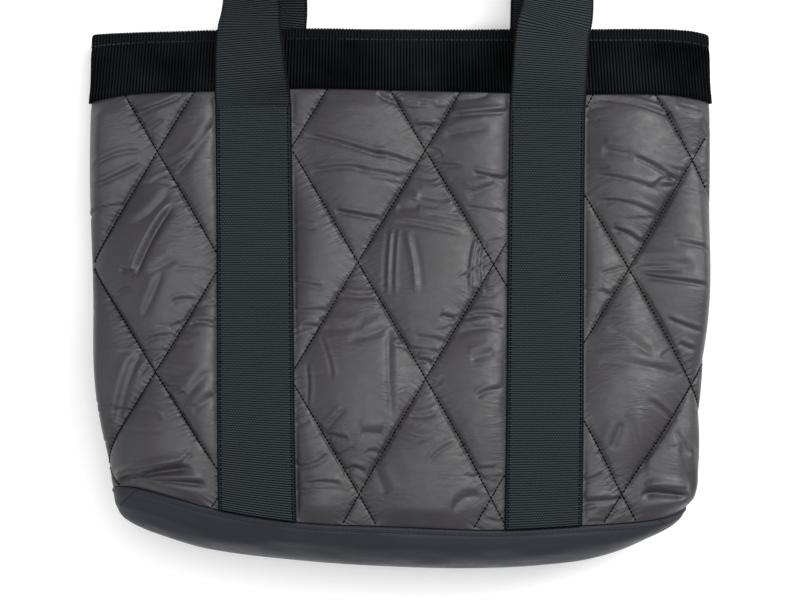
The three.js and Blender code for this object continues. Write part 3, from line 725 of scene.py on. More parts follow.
def base_piece():
    columns = np.linspace(-REACH, REACH, round(HALF_GIRTH / BASE_COLUMN) + 1)
    keep = thinned(len(columns), INSIDE_STEP)
    fronts, front_run = base_outside(FRONT, columns)
    backs, back_run = base_outside(BACK, columns)
    backs[-1] = fronts[-1]
    ring = np.concatenate([fronts, backs[-2::-1]])
    over = 2 * front_run[-1] - back_run[-2::-1] * front_run[-1] / back_run[-1]
    run = np.concatenate([front_run, over])
    inner_angles = np.linspace(0, np.pi / 2, BASE_INSIDE_ROWS + 1)
    s, angle = np.meshgrid(columns[keep], inner_angles)
    inner_front = base_point(FRONT, s, angle, -BASE_WALL)
    inner_back = base_point(BACK, s, angle, -BASE_WALL)
    inner_back[-1] = inner_front[-1]
    inner = np.concatenate([inner_front, inner_back[-2::-1]])
    points, faces = shell(ring, inner)
    flat = np.concatenate([
        np.stack([np.broadcast_to(columns, run.shape), run], -1).reshape(-1, 2),
        np.zeros((len(points) - run.size, 2)),
    ])
    return plain_mesh("base_cloth", points, facing_out(points, faces), uv=flat), fronts, backs


# The corduroy band round the mouth, folded over the rim.
WALE = 2.1
WALES = round(2 * HALF_GIRTH / WALE)
CELLS_PER_WALE = 6
BAND_STITCH_DOWN = 8.6  # from the rim to the row of stitches beside it
BAND_DIP = 0.5  # how deep those stitches pull it in
BAND_DIP_WIDTH = 1.6


def band_outline():
    """The band's section: how far towards the rim, and how far out of the cloth."""
    roll = BAND_WALL / 2
    inner = BAND_PROUD - BAND_WALL
    lowest, highest = -GAP / BAND_HEIGHT, -1 + roll / BAND_HEIGHT
    up = [(down, BAND_PROUD) for down in np.linspace(lowest, highest, 13)]
    over = [
        (highest - roll / BAND_HEIGHT * math.sin(a), BAND_PROUD - roll + roll * math.cos(a))
        for a in np.linspace(0, math.pi, 10)[1:-1]
    ]
    back = [(down, inner) for down in np.linspace(highest, lowest, 6)]
    return np.array(up + over + back)


def band_ring(count):
    """Which face each place round the band is on, and where across it."""
    turn = np.arange(count) / (count / 2)
    face = np.where(turn <= 1, FRONT, BACK)
    return face, lerp(-REACH, REACH, np.where(turn <= 1, turn, 2 - turn))


def band_piece():
    outline = band_outline()
    count = WALES * CELLS_PER_WALE
    face, s = band_ring(count)
    down = outline[:, 0][:, None]
    rise = outline[:, 1][:, None] * np.ones(count)
    stitched = np.abs(down + 1 - BAND_STITCH_DOWN / BAND_HEIGHT) * BAND_HEIGHT
    rise = rise - BAND_DIP * np.exp(-((stitched / BAND_DIP_WIDTH) ** 2)) * np.sign(rise)
    lift = np.zeros_like(rise)
    for reach_columns, height, seed in ((60, 0.5, 21), (18, 0.18, 22)):
        lift += height * wavy((3, count + 200), seed, 1, reach_columns)[1, 100:-100]
    points = np.where(
        (face == FRONT)[:, None],
        cloth_point(FRONT, s, down, rise + lift),
        cloth_point(BACK, s, down, rise),
    )
    rows = len(outline)
    numbers = number_grid(rows, count)
    closed = np.concatenate([numbers, numbers[:, :1]], axis=1)
    closed = np.concatenate([closed, closed[:1]])
    faces = [quads(closed)]
    around = np.arange(count) * 2 * HALF_GIRTH / count
    places = {
        "around": np.tile(around, rows),
        "from_rim": np.repeat((outline[:, 0] + 1) * BAND_HEIGHT, count),
    }
    return plain_mesh("band_cloth", points, facing_out(points, faces), attributes=places)


# The webbing of the handles.
EDGE_STITCH_IN = 2.4
FREE_STEPS = 300
LEG_STEP = 2.4


def webbing_section():
    """Places round the webbing: across its width, and above or below its middle."""
    edge = np.array([21.8, 23.2, 24, 24.6, 25])
    across = np.concatenate([-edge[::-1], np.linspace(-20, 20, 11), edge])
    past = np.clip((np.abs(across) - 23.7) / 1.3, 0, 1)
    pressed = 0.16 * np.exp(-(((np.abs(across) - 25 + EDGE_STITCH_IN) / 0.8) ** 2))
    above = WEBBING_THICK / 2 * np.sqrt(1 - past ** 2 * 0.94) * (1 - pressed)
    over = np.stack([across, above], -1)
    under = np.stack([across[::-1], -above[::-1]], -1)
    return np.concatenate([over, under])


SECTION = webbing_section()


def sewn_rows(face, side):
    """A sewn leg, from the base seam up to its cross stitch."""
    cross = CROSS_STITCH_DOWN / PANEL_HEIGHT
    bottom = 1 - GAP / PANEL_HEIGHT
    count = round((PANEL_HEIGHT - CROSS_STITCH_DOWN) / LEG_STEP)
    down = np.linspace(bottom, cross, count + 1)[:, None]
    s = leg_place(side, down, -SECTION[:, 0])
    rise = GAP + WEBBING_THICK / 2 + face * SECTION[:, 1] + np.zeros_like(s)
    return cloth_point(face, s, down + 0 * s, rise)


def path_place(points, u):
    """A place on the smooth curve through some points, at a share of its way."""
    last = len(points) - 1
    padded = np.concatenate([[2 * points[0] - points[1]], points, [2 * points[-1] - points[-2]]])
    place = np.clip(u, 0, 1) * last
    i = np.minimum(place.astype(int), last - 1)
    t = (place - i)[:, None]
    before, a, b, after = (padded[i + k] for k in range(4))
    lean_a, lean_b = (b - before) / 2, (after - a) / 2
    return (
        a + lean_a * t + (3 * (b - a) - 2 * lean_a - lean_b) * t ** 2
        + (2 * (a - b) + lean_a + lean_b) * t ** 3
    )


def free_rows(face, arch):
    """The free part of a handle, between its two cross stitches."""
    cross = np.array([CROSS_STITCH_DOWN / PANEL_HEIGHT])
    ends = [
        cloth_point(face, leg_place(side, cross, 0), cross, np.array([GAP + WEBBING_THICK / 2]))[0]
        for side in (-1, 1)
    ]
    start = cloth_place(face, leg_place(-1, cross, 0), cross)[0, 1]
    reach = RIM_Y + HANDLE_DROP - start
    places = [ends[0]]
    for across, along, lift, turn in arch[1:-1]:
        angle = math.radians(turn)
        height = (
            lift * LYING_DEPTH + math.sin(angle) * WEBBING_WIDTH / 2
            + math.cos(angle) * WEBBING_THICK / 2
        )
        places.append(np.array([across * HANDLE_SPACING_TOP / 2, start + along * reach, height]))
    places.append(ends[1])
    u = np.linspace(0, 1, FREE_STEPS + 1)[1:-1]
    path = path_place(np.array(places), u)
    ahead = unit(path_place(np.array(places), u + 1e-4) - path_place(np.array(places), u - 1e-4))
    turns = np.array([[row[3], 0, 0] for row in arch], float)
    turn = np.radians(path_place(turns, u)[:, 0])[:, None]
    inward = unit(np.stack([ahead[:, 1], -ahead[:, 0], np.zeros(len(u))], -1))
    width = inward * np.cos(turn) + np.array([0, 0, 1]) * np.sin(turn)
    for side, share in ((-1, 1 - smoothstep(u, 0, 0.05)), (1, smoothstep(u, 0.95, 1))):
        out = cloth_out(face, leg_place(side, cross, 0), cross)[0] * face
        sewn = unit(np.cross(ends_ahead(side), out))
        width = unit(lerp(width, sewn, share[:, None]))
    over = unit(np.cross(width, ahead))
    rows = (
        path[:, None] + width[:, None] * SECTION[:, 0][None, :, None]
        + over[:, None] * SECTION[:, 1][None, :, None]
    )
    return on_floor(rows)


def ends_ahead(side):
    return np.array([0, -side, 0])


def handle_piece(name, face, arch):
    rows = np.concatenate([
        sewn_rows(face, -1),
        free_rows(face, arch),
        sewn_rows(face, 1)[::-1],
    ])
    stations, count = rows.shape[:2]
    middles = rows.mean(axis=1)
    run = np.concatenate([[0], np.cumsum(np.linalg.norm(np.diff(middles, axis=0), axis=-1))])
    numbers = number_grid(stations, count)
    closed = np.concatenate([numbers, numbers[:, :1]], axis=1)
    half = count // 2
    caps = []
    for row, turned in ((numbers[0], True), (numbers[-1], False)):
        cap = quads(np.stack([row[:half], row[half:][::-1]]))
        caps.append(cap[:, ::-1] if turned else cap)
    faces = [quads(closed), *caps]
    flat = np.stack([np.tile(SECTION[:, 0], stations), np.repeat(run, count)], -1)
    obj = plain_mesh(name, rows, facing_out(rows, faces), uv=flat)
    return obj, float(run[-1])


# Finishes.
class Finish:
    """A material's nodes, put together one at a time."""

    def __init__(self, name, **values):
        self.material = bpy.data.materials.new(name)
        self.material.use_nodes = True
        self.tree = self.material.node_tree
        self.shader = self.tree.nodes["Principled BSDF"]
        for key, value in values.items():
            self.shader.inputs[key.replace("_", " ")].default_value = value

    def put(self, socket, value):
        if isinstance(value, bpy.types.NodeSocket):
            self.tree.links.new(value, socket)
        else:
            socket.default_value = value

    def node(self, kind, values=(), **settings):
        node = self.tree.nodes.new(kind)
        for key, value in settings.items():
            setattr(node, key, value)
        for i, value in enumerate(values):
            if value is not None:
                self.put(node.inputs[i], value)
        return node

    def math(self, operation, *values):
        return self.node("ShaderNodeMath", values, operation=operation).outputs[0]

    def times(self, one, other):
        return self.math("MULTIPLY", one, other)

    def minus(self, one, other):
        return self.math("SUBTRACT", one, other)

    def fading(self, distance, reach):
        """A share that fades from 1 as the distance grows."""
        return self.math("POWER", math.e, self.times(distance, -1 / reach))

    def place(self):
        """The piece's own place on its cloth, in millimetres."""
        node = self.node("ShaderNodeUVMap", uv_map="cloth")
        parts = self.node("ShaderNodeSeparateXYZ", [node.outputs[0]])
        return parts.outputs[0], parts.outputs[1]

    def over(self, x, width, y, height, z=0.0):
        """A place on the cloth, counted in widths across and heights down."""
        return self.vector(self.math("DIVIDE", x, width), self.math("DIVIDE", y, height), z)

    def object_place(self, scale):
        where = self.node("ShaderNodeTexCoord").outputs["Object"]
        scaled = self.node("ShaderNodeVectorMath", [where, (scale,) * 3], operation="MULTIPLY")
        return scaled.outputs[0]

    def vector(self, x, y, z=0.0):
        return self.node("ShaderNodeCombineXYZ", [x, y, z]).outputs[0]

    def noise(self, vector, detail=2.0, roughness=0.5):
        node = self.node("ShaderNodeTexNoise")
        self.put(node.inputs["Vector"], vector)
        for key, value in (("Scale", 1.0), ("Detail", detail), ("Roughness", roughness)):
            node.inputs[key].default_value = value
        return node.outputs["Fac"]

    def spread(self, value, low, high, to_low, to_high):
        node = self.node("ShaderNodeMapRange", [value, low, high, to_low, to_high])
        return node.outputs[0]

    def colour(self, share, one, other):
        """A colour between two, and it becomes the shader's."""
        node = self.node("ShaderNodeMix", data_type="RGBA")
        self.put(node.inputs["Factor"], share)
        node.inputs["A"].default_value = (*one, 1)
        node.inputs["B"].default_value = (*other, 1)
        self.tree.links.new(node.outputs["Result"], self.shader.inputs["Base Color"])

    def roughness(self, value):
        self.tree.links.new(value, self.shader.inputs["Roughness"])

    def relief(self, height):
        """Bump from a height in millimetres."""
        node = self.node("ShaderNodeBump")
        node.inputs["Strength"].default_value = 1.0
        node.inputs["Distance"].default_value = 0.001
        self.tree.links.new(height, node.inputs["Height"])
        self.tree.links.new(node.outputs[0], self.shader.inputs["Normal"])

    def total(self, *values):
        result = values[0]
        for value in values[1:]:
            result = self.math("ADD", result, value)
        return result


PUCKER_REACH = 5.0
PUCKER_PITCH = 3.0
PUCKER_LENGTH = 16.0


def puckers(finish, x, y):
    """Short gathers across the stitch lines, and how near the nearest line is."""
    heights = []
    nears = []
    slant = math.hypot(DIAMOND_WIDTH, DIAMOND_HEIGHT)
    for sign in (1, -1):
        across = finish.times(finish.minus(x, CROSSING_ACROSS), 1 / DIAMOND_WIDTH)
        down = finish.times(finish.minus(y, CROSSING_DOWN), sign / DIAMOND_HEIGHT)
        line = finish.math("ADD", across, down)
        along = finish.minus(
            finish.times(y, DIAMOND_HEIGHT / slant),
            finish.times(x, sign * DIAMOND_WIDTH / slant),
        )
        off = finish.minus(line, finish.math("ROUND", line))
        distance = finish.times(finish.math("ABSOLUTE", off), LINE_SPACING)
        near = finish.fading(distance, PUCKER_REACH)
        gather = finish.noise(
            finish.over(along, PUCKER_PITCH, finish.times(line, LINE_SPACING), PUCKER_LENGTH, float(sign)),
            detail=1.0,
        )
        heights.append(finish.times(finish.minus(gather, 0.5), near))
        nears.append(near)
    return finish.math("ADD", *heights), finish.math("MAXIMUM", *nears)


def quilted_nylon():
    finish = Finish("quilted_nylon", IOR=1.5)
    shader = finish.shader.inputs
    shader["Sheen Weight"].default_value = 0.1
    shader["Sheen Roughness"].default_value = 0.4
    shader["Sheen Tint"].default_value = (0.85, 0.83, 0.9, 1)
    x, y = finish.place()
    gathers, near = puckers(finish, x, y)
    warp = finish.noise(finish.over(x, 30.0, y, 22.0), detail=1.0)
    lifted = finish.math("ADD", finish.math("DIVIDE", y, 6.0), finish.times(warp, 4.0))
    bent = finish.vector(finish.math("DIVIDE", x, 26.0), lifted)
    creases = finish.noise(bent, detail=3.0, roughness=0.55)
    sharp = finish.math("ABSOLUTE", finish.minus(creases, 0.5))
    where = finish.spread(finish.noise(finish.over(x, 40.0, y, 30.0, 3.0)), 0.4, 0.62, 0.15, 1.0)
    crinkle = finish.times(finish.times(sharp, where), 0.8)
    rumple = finish.noise(finish.over(x, 7.0, y, 3.0, 9.0), detail=3.0)
    fine = finish.noise(finish.object_place(900.0), detail=2.0)
    height = finish.total(
        finish.times(finish.times(rumple, where), 0.35),
        finish.times(gathers, 1.5),
        crinkle,
        finish.times(fine, 0.05),
    )
    finish.relief(height)
    tone = finish.noise(finish.over(x, 60.0, y, 60.0, 7.0))
    # Painted shade: the colour darkens within a few millimetres of each stitch line, standing in for the
    # shade in the quilting valleys.
    tone = finish.minus(tone, finish.times(near, 0.25))
    shade = finish.spread(tone, 0.1, 0.7, 0.0, 1.0)
    finish.colour(shade, (0.0112, 0.0101, 0.0120), (0.0262, 0.0236, 0.0272))
    finish.roughness(finish.spread(finish.noise(finish.object_place(160.0)), 0.3, 0.7, 0.43, 0.54))
    return finish.material


END_SEAM_ACROSS = 177  # where the base's short seams start, across from its middle
END_SEAM_LEAN = 1.3
END_SEAM_WIDTH = 1.1
GATHER_REACH = 7.0


def base_nylon():
    finish = Finish("base_nylon", IOR=1.5, Specular_IOR_Level=0.15)
    finish.shader.inputs["Sheen Weight"].default_value = 0.03
    finish.shader.inputs["Sheen Tint"].default_value = (0.75, 0.8, 1.0, 1)
    x, y = finish.place()
    gather = finish.noise(finish.over(x, 3.2, y, 14.0), detail=1.0)
    near = finish.fading(y, GATHER_REACH)
    waves = finish.noise(finish.over(x, 34.0, y, 16.0, 2.0))
    fine = finish.noise(finish.object_place(1100.0), detail=2.0)
    seam_place = finish.math("ADD", finish.times(y, END_SEAM_LEAN), END_SEAM_ACROSS)
    end_seam = finish.math("ABSOLUTE", finish.minus(finish.math("ABSOLUTE", x), seam_place))
    tuck = finish.spread(end_seam, END_SEAM_WIDTH / 2, END_SEAM_WIDTH, 1.0, 0.0)
    finish.relief(finish.total(
        finish.times(tuck, -1.2),
        finish.times(finish.times(gather, near), 0.5),
        finish.times(waves, 1.0),
        finish.times(fine, 0.05),
    ))
    tone = finish.noise(finish.object_place(14.0))
    # Painted shade: the colour goes to its darkest along each short end seam, standing in for the shade in
    # the seam's tuck.
    tone = finish.times(tone, finish.minus(1.0, tuck))
    finish.colour(tone, (0.0155, 0.0167, 0.0228), (0.0242, 0.0258, 0.0338))
    finish.roughness(finish.spread(finish.noise(finish.object_place(200.0)), 0.3, 0.7, 0.4, 0.5))
    return finish.material


def corduroy():
    finish = Finish("corduroy", IOR=1.3, Roughness=1.0, Specular_IOR_Level=0.0)
    pile = finish.noise(finish.object_place(1700.0), detail=2.0)
    finish.relief(finish.times(pile, 0.25))
    around = finish.node("ShaderNodeAttribute", attribute_name="around").outputs["Fac"]
    # Painted shade: the wale grooves are coloured near black and the wale tops lighter, standing in for
    # the shade between the ribs.
    turn = finish.times(around, math.pi / WALE)
    rib = finish.math("ABSOLUTE", finish.math("SINE", turn))
    rib = finish.math("POWER", rib, 1.6)
    wear_and_painted_light = finish.spread(finish.noise(finish.object_place(22.0), detail=4.0), 0.35, 0.65, 0.3, 1.0)
    # Random tone in the pile, and a painted highlight: from the rim down to just past the row of stitches
    # the pile is coloured lighter, where the rolled edge catches the light.
    from_rim = finish.node("ShaderNodeAttribute", attribute_name="from_rim").outputs["Fac"]
    pressed = finish.spread(from_rim, BAND_STITCH_DOWN - 0.6, BAND_STITCH_DOWN + 5.0, 0.8, 0.0)
    wear_and_painted_light = finish.math("MAXIMUM", wear_and_painted_light, pressed)
    rib = finish.math("MAXIMUM", rib, finish.times(pressed, 0.45))
    share = finish.times(rib, wear_and_painted_light)
    finish.colour(share, (0.0004, 0.0004, 0.0005), (0.0105, 0.0125, 0.0132))
    return finish.material


WEAVE_ROW = 1.5
WEAVE_COLUMN = 1.87


def webbing_cloth():
    finish = Finish("webbing_cloth", IOR=1.4, Roughness=0.95, Specular_IOR_Level=0.06)
    x, y = finish.place()
    row = finish.math("DIVIDE", y, WEAVE_ROW)
    rib = finish.math("ABSOLUTE", finish.math("SINE", finish.times(row, math.pi)))
    offset = finish.times(finish.math("FLOOR", row), 0.5)
    column = finish.math("ADD", finish.math("DIVIDE", x, WEAVE_COLUMN), offset)
    pick = finish.math("ABSOLUTE", finish.math("SINE", finish.times(column, math.pi)))
    fuzz = finish.noise(finish.object_place(1500.0), detail=2.0)
    finish.relief(finish.total(
        finish.times(rib, 0.30),
        finish.times(pick, 0.16),
        finish.times(fuzz, 0.14),
    ))
    # Painted shade: the grooves between the weave's rows and picks are coloured dark and their tops light,
    # standing in for the shade of the weave.
    painted_weave_shade = finish.times(finish.math("POWER", rib, 1.5), finish.spread(pick, 0.0, 1.0, 0.5, 1.0))
    # Painted shade: the colour darkens over the outer two millimetres of each edge, standing in for the
    # shade along the strap's turned edges; the fuzz noise adds random tone.
    edge = finish.spread(finish.math("ABSOLUTE", x), 22.9, 24.3, 1.0, 0.25)
    wear_and_painted_light = finish.times(edge, finish.spread(fuzz, 0.3, 0.7, 0.75, 1.0))
    finish.colour(finish.times(painted_weave_shade, wear_and_painted_light), (0.0012, 0.0016, 0.0018), (0.042, 0.052, 0.058))
    return finish.material


def thread(name, colour):
    finish = Finish(name, Roughness=1.0, Specular_IOR_Level=0.0)
    twist = finish.noise(finish.object_place(2600.0), detail=1.0)
    finish.colour(twist, tuple(0.6 * c for c in colour), colour)
    return finish.material


# Geometry Nodes for what repeats: stitches along their lines, and wales round the band.
def socket_of(tree, name):
    return next(item.identifier for item in tree.interface.items_tree if item.name == name)


def tree_with(name, inputs):
    tree = bpy.data.node_groups.new(name, "GeometryNodeTree")
    tree.interface.new_socket("Geometry", in_out="INPUT", socket_type="NodeSocketGeometry")
    tree.interface.new_socket("Geometry", in_out="OUTPUT", socket_type="NodeSocketGeometry")
    for key, kind in inputs:
        tree.interface.new_socket(key, in_out="INPUT", socket_type="NodeSocket" + kind)
    source = tree.nodes.new("NodeGroupInput")
    return tree, source


def add_node(tree, kind, links=(), values=(), **settings):
    node = tree.nodes.new(kind)
    for key, value in settings.items():
        setattr(node, key, value)
    for key, value in values:
        node.inputs[key].default_value = value
    for key, socket in links:
        tree.links.new(socket, node.inputs[key])
    return node


def finish_tree(tree, source, geometry):
    """Every tree ends in plain geometry with its finish on it."""
    real = add_node(tree, "GeometryNodeRealizeInstances", [(0, geometry)])
    painted = add_node(
        tree, "GeometryNodeSetMaterial",
        [("Geometry", real.outputs[0]), ("Material", source.outputs["Finish"])],
    )
    smooth = add_node(tree, "GeometryNodeSetShadeSmooth", [(0, painted.outputs[0])])
    end = tree.nodes.new("NodeGroupOutput")
    tree.links.new(smooth.outputs[0], end.inputs[0])
    return tree


def stitch_tree():
    tree, source = tree_with("stitches_along_a_line", [
        ("Stitch Pitch", "Float"), ("Stitch Length", "Float"), ("Thread Radius", "Float"),
        ("Seed", "Int"), ("Finish", "Material"),
    ])
    curve = add_node(tree, "GeometryNodeMeshToCurve", [(0, source.outputs["Geometry"])])
    even = add_node(
        tree, "GeometryNodeResampleCurve",
        [("Curve", curve.outputs[0]), ("Length", source.outputs["Stitch Pitch"])], mode="LENGTH",
    )
    tangent = tree.nodes.new("GeometryNodeInputTangent")
    outward = add_node(
        tree, "GeometryNodeInputNamedAttribute", values=[("Name", "out")], data_type="FLOAT_VECTOR",
    )
    along = add_node(
        tree, "FunctionNodeAlignRotationToVector", [("Vector", tangent.outputs[0])], axis="X",
    )
    turned = add_node(
        tree, "FunctionNodeAlignRotationToVector",
        [("Rotation", along.outputs[0]), ("Vector", outward.outputs[0])], axis="Z", pivot_axis="X",
    )
    size = add_node(tree, "ShaderNodeCombineXYZ", [
        (0, source.outputs["Stitch Length"]), (1, source.outputs["Thread Radius"]),
        (2, source.outputs["Thread Radius"]),
    ])
    bead = add_node(
        tree, "GeometryNodeMeshUVSphere", values=[("Segments", 6), ("Rings", 5), ("Radius", 1.0)],
    )
    turn_bead = add_node(
        tree, "GeometryNodeTransform", [("Geometry", bead.outputs[0])],
        [("Rotation", (0, math.pi / 2, 0))],
    )
    shaped = add_node(
        tree, "GeometryNodeTransform", [("Geometry", turn_bead.outputs[0]), ("Scale", size.outputs[0])],
    )
    vary = add_node(
        tree, "FunctionNodeRandomValue", [("Seed", source.outputs["Seed"])],
        [(0, (0.9, 0.9, 0.85)), (1, (1.06, 1.1, 1.1))], data_type="FLOAT_VECTOR",
    )
    placed = add_node(tree, "GeometryNodeInstanceOnPoints", [
        ("Points", even.outputs[0]), ("Instance", shaped.outputs[0]),
        ("Rotation", turned.outputs[0]), ("Scale", vary.outputs[0]),
    ])
    return finish_tree(tree, source, placed.outputs[0])


def wale_tree():
    tree, source = tree_with("corduroy_wales", [
        ("Wale Width", "Float"), ("Wale Height", "Float"), ("Finish", "Material"),
    ])
    around = add_node(tree, "GeometryNodeInputNamedAttribute", values=[("Name", "around")])
    turn = add_node(
        tree, "ShaderNodeMath", [(0, around.outputs[0]), (1, source.outputs["Wale Width"])],
        operation="DIVIDE",
    )
    angle = add_node(tree, "ShaderNodeMath", [(0, turn.outputs[0])], [(1, math.pi)], operation="MULTIPLY")
    wave = add_node(tree, "ShaderNodeMath", [(0, angle.outputs[0])], operation="SINE")
    rib = add_node(tree, "ShaderNodeMath", [(0, wave.outputs[0])], operation="ABSOLUTE")
    round_rib = add_node(tree, "ShaderNodeMath", [(0, rib.outputs[0])], [(1, 0.7)], operation="POWER")
    height = add_node(
        tree, "ShaderNodeMath", [(0, round_rib.outputs[0]), (1, source.outputs["Wale Height"])],
        operation="MULTIPLY",
    )
    normal = tree.nodes.new("GeometryNodeInputNormal")
    lift = add_node(
        tree, "ShaderNodeVectorMath", [(0, normal.outputs[0]), ("Scale", height.outputs[0])],
        operation="SCALE",
    )
    moved = add_node(
        tree, "GeometryNodeSetPosition",
        [("Geometry", source.outputs["Geometry"]), ("Offset", lift.outputs[0])],
    )
    return finish_tree(tree, source, moved.outputs[0])


def grown(obj, tree, **values):
    """The object's mesh as its node tree makes it, with the modifier gone."""
    modifier = obj.modifiers.new(tree.name, "NODES")
    modifier.node_group = tree
    for key, value in values.items():
        modifier[socket_of(tree, key.replace("_", " "))] = value
    graph = bpy.context.evaluated_depsgraph_get()
    mesh = bpy.data.meshes.new_from_object(obj.evaluated_get(graph))
    obj.modifiers.clear()
    plain = obj.data
    obj.data = mesh
    bpy.data.meshes.remove(plain)
    return obj


def stitched(name, runs, tree, **values):
    """One piece with all the stitches along some lines, each a list of places and directions out."""
    points = np.concatenate([places for places, _ in runs]) + (0, BASE_SEAM_Y, 0)
    outs = np.concatenate([out for _, out in runs])
    edges = []
    first = 0
    for places, _ in runs:
        numbers = np.arange(first, first + len(places) - 1)
        edges.append(np.stack([numbers, numbers + 1], -1))
        first += len(places)
    mesh = bpy.data.meshes.new(name)
    mesh.from_pydata((points * 0.001).tolist(), np.concatenate(edges).tolist(), [])
    layer = mesh.attributes.new("out", "FLOAT_VECTOR", "POINT")
    layer.data.foreach_set("vector", outs.astype(np.float32).reshape(-1))
    obj = bpy.data.objects.new(name, mesh)
    bpy.context.scene.collection.objects.link(obj)
    return grown(obj, tree, **values)


LINE_STEP = 1.5
LINE_IN = 0.8  # how far from the rim and the seam the quilting stitches stop
SIDE_IN = 7  # and how far from the sides
CORNER_COLUMNS = 8  # columns left without stitches at each end of the base


def broken(places, outs, keep):
    """The stretches of a line that are kept."""
    marks = np.flatnonzero(np.diff(np.concatenate([[0], keep.astype(int), [0]])))
    return [(places[a:b], outs[a:b]) for a, b in zip(marks[::2], marks[1::2]) if b - a > 2]


def quilting_runs(face, rise):
    """The panel's crossing stitch lines, left out under the sewn legs."""
    runs = []
    share = DIAMOND_WIDTH / DIAMOND_HEIGHT
    for lean in (1, -1):
        reach = REACH + PANEL_HEIGHT * share
        count = math.ceil(reach / DIAMOND_WIDTH)
        for number in range(-count, count + 1):
            d = np.arange(LINE_IN, PANEL_HEIGHT - LINE_IN, LINE_STEP)
            s = CROSSING_ACROSS + number * DIAMOND_WIDTH + lean * (d - CROSSING_DOWN) * share
            keep = (np.abs(s) < REACH - SIDE_IN) & (beyond_legs(s, d) > 0.5)
            s = np.clip(s, -REACH, REACH)
            down = d / PANEL_HEIGHT
            out = cloth_out(face, s, down)
            places = cloth_place(face, s, down) + (0, 0, face * GAP / 2) + out * rise
            runs += broken(places, out, keep)
    return runs


def leg_runs(face, rise):
    """Stitches down both edges of each sewn leg."""
    runs = []
    down = np.arange(CROSS_STITCH_DOWN, PANEL_HEIGHT - 2, LINE_STEP) / PANEL_HEIGHT
    for side in (-1, 1):
        for edge in (-1, 1):
            s = leg_place(side, down, edge * (WEBBING_WIDTH / 2 - EDGE_STITCH_IN))
            out = cloth_out(face, s, down)
            runs.append((cloth_place(face, s, down) + out * (GAP + WEBBING_THICK + rise), out))
    return runs


def cross_runs(face, rise):
    """The row of stitches across each leg, where it stops being sewn on."""
    runs = []
    outward = np.arange(EDGE_STITCH_IN, WEBBING_WIDTH - EDGE_STITCH_IN, LINE_STEP) - WEBBING_WIDTH / 2
    for side in (-1, 1):
        down = np.full(len(outward), (CROSS_STITCH_DOWN + 0.6) / PANEL_HEIGHT)
        s = leg_place(side, down, outward)
        out = cloth_out(face, s, down)
        runs.append((cloth_place(face, s, down) + out * (GAP + WEBBING_THICK + rise), out))
    return runs


def band_runs(rise):
    runs = []
    s = np.arange(-REACH + 1, REACH - 1, LINE_STEP)
    down = np.full(len(s), -1 + BAND_STITCH_DOWN / BAND_HEIGHT)
    for face in (FRONT, BACK):
        out = cloth_out(face, s, down)
        runs.append((cloth_place(face, s, down) + out * (BAND_PROUD + rise), out))
    return runs


def base_runs(rows, rise):
    """Stitches along the base, a little in from its seam."""
    runs = []
    for points, face in rows:
        out = grid_normals(points, face)
        steps = np.linalg.norm(np.diff(points, axis=0, prepend=points[:1]), axis=-1)
        columns = np.arange(CORNER_COLUMNS, points.shape[1] - CORNER_COLUMNS)
        length = np.cumsum(steps, axis=0)[:, columns]
        row = np.argmin(np.abs(length - BASE_STITCH_IN), axis=0)
        a = np.clip(np.sum(length < BASE_STITCH_IN, axis=0) - 1, 0, len(points) - 2)
        picked = np.arange(len(columns))
        before, after = length[a, picked], length[a + 1, picked]
        t = (BASE_STITCH_IN - before) / (after - before)
        places = lerp(points[a, columns], points[a + 1, columns], t[:, None])
        outs = out[row, columns]
        runs.append((places + outs * rise, outs))
    return runs


# The pieces.
nylon = quilted_nylon()
front_panel = quilted_panel("front_panel_cloth", FRONT, PUFF_RISE, cells=62, strays=80, seed=3)
back_panel = quilted_panel("back_panel_cloth", BACK, BACK_PUFF_RISE, cells=36, strays=260, seed=4)
for panel in (front_panel, back_panel):
    panel.data.materials.append(nylon)

base, base_front, base_back = base_piece()
base.data.materials.append(base_nylon())

pile = corduroy()
band = grown(band_piece(), wale_tree(), Wale_Width=WALE, Wale_Height=0.0008, Finish=pile)

webbing = webbing_cloth()
front_handle, front_length = handle_piece("front_handle_webbing", FRONT, FRONT_ARCH)
back_handle, back_length = handle_piece("back_handle_webbing", BACK, BACK_ARCH)
for strap in (front_handle, back_handle):
    strap.data.materials.append(webbing)

black_thread = thread("black_thread", (0.0016, 0.0018, 0.0020))
grey_thread = thread("grey_thread", (0.040, 0.048, 0.051))
blue_thread = thread("blue_thread", (0.055, 0.058, 0.064))
stitches = stitch_tree()
quilting = [
    stitched(
        name, quilting_runs(face, 0.3), stitches,
        Stitch_Pitch=0.0025, Stitch_Length=0.0012, Thread_Radius=0.00046, Seed=seed, Finish=black_thread,
    )
    for name, face, seed in (("front_quilting", FRONT, 1), ("back_quilting", BACK, 2))
]
leg_stitches = [
    stitched(
        name, leg_runs(face, 0), stitches,
        Stitch_Pitch=0.003, Stitch_Length=0.0012, Thread_Radius=0.00038, Seed=seed, Finish=black_thread,
    )
    for name, face, seed in (("front_leg_stitches", FRONT, 3), ("back_leg_stitches", BACK, 4))
]
cross_stitches = [
    stitched(
        name, cross_runs(face, 0.1), stitches,
        Stitch_Pitch=0.003, Stitch_Length=0.0013, Thread_Radius=0.00034, Seed=seed, Finish=grey_thread,
    )
    for name, face, seed in (("front_cross_stitches", FRONT, 5), ("back_cross_stitches", BACK, 6))
]
band_stitches = stitched(
    "band_stitches", band_runs(0.2), stitches,
    Stitch_Pitch=0.0033, Stitch_Length=0.0014, Thread_Radius=0.00034, Seed=7, Finish=grey_thread,
)
base_stitches = stitched(
    "base_stitches", base_runs(((base_front, FRONT), (base_back, BACK)), 0.1), stitches,
    Stitch_Pitch=0.0033, Stitch_Length=0.0014, Thread_Radius=0.00032, Seed=8, Finish=blue_thread,
)

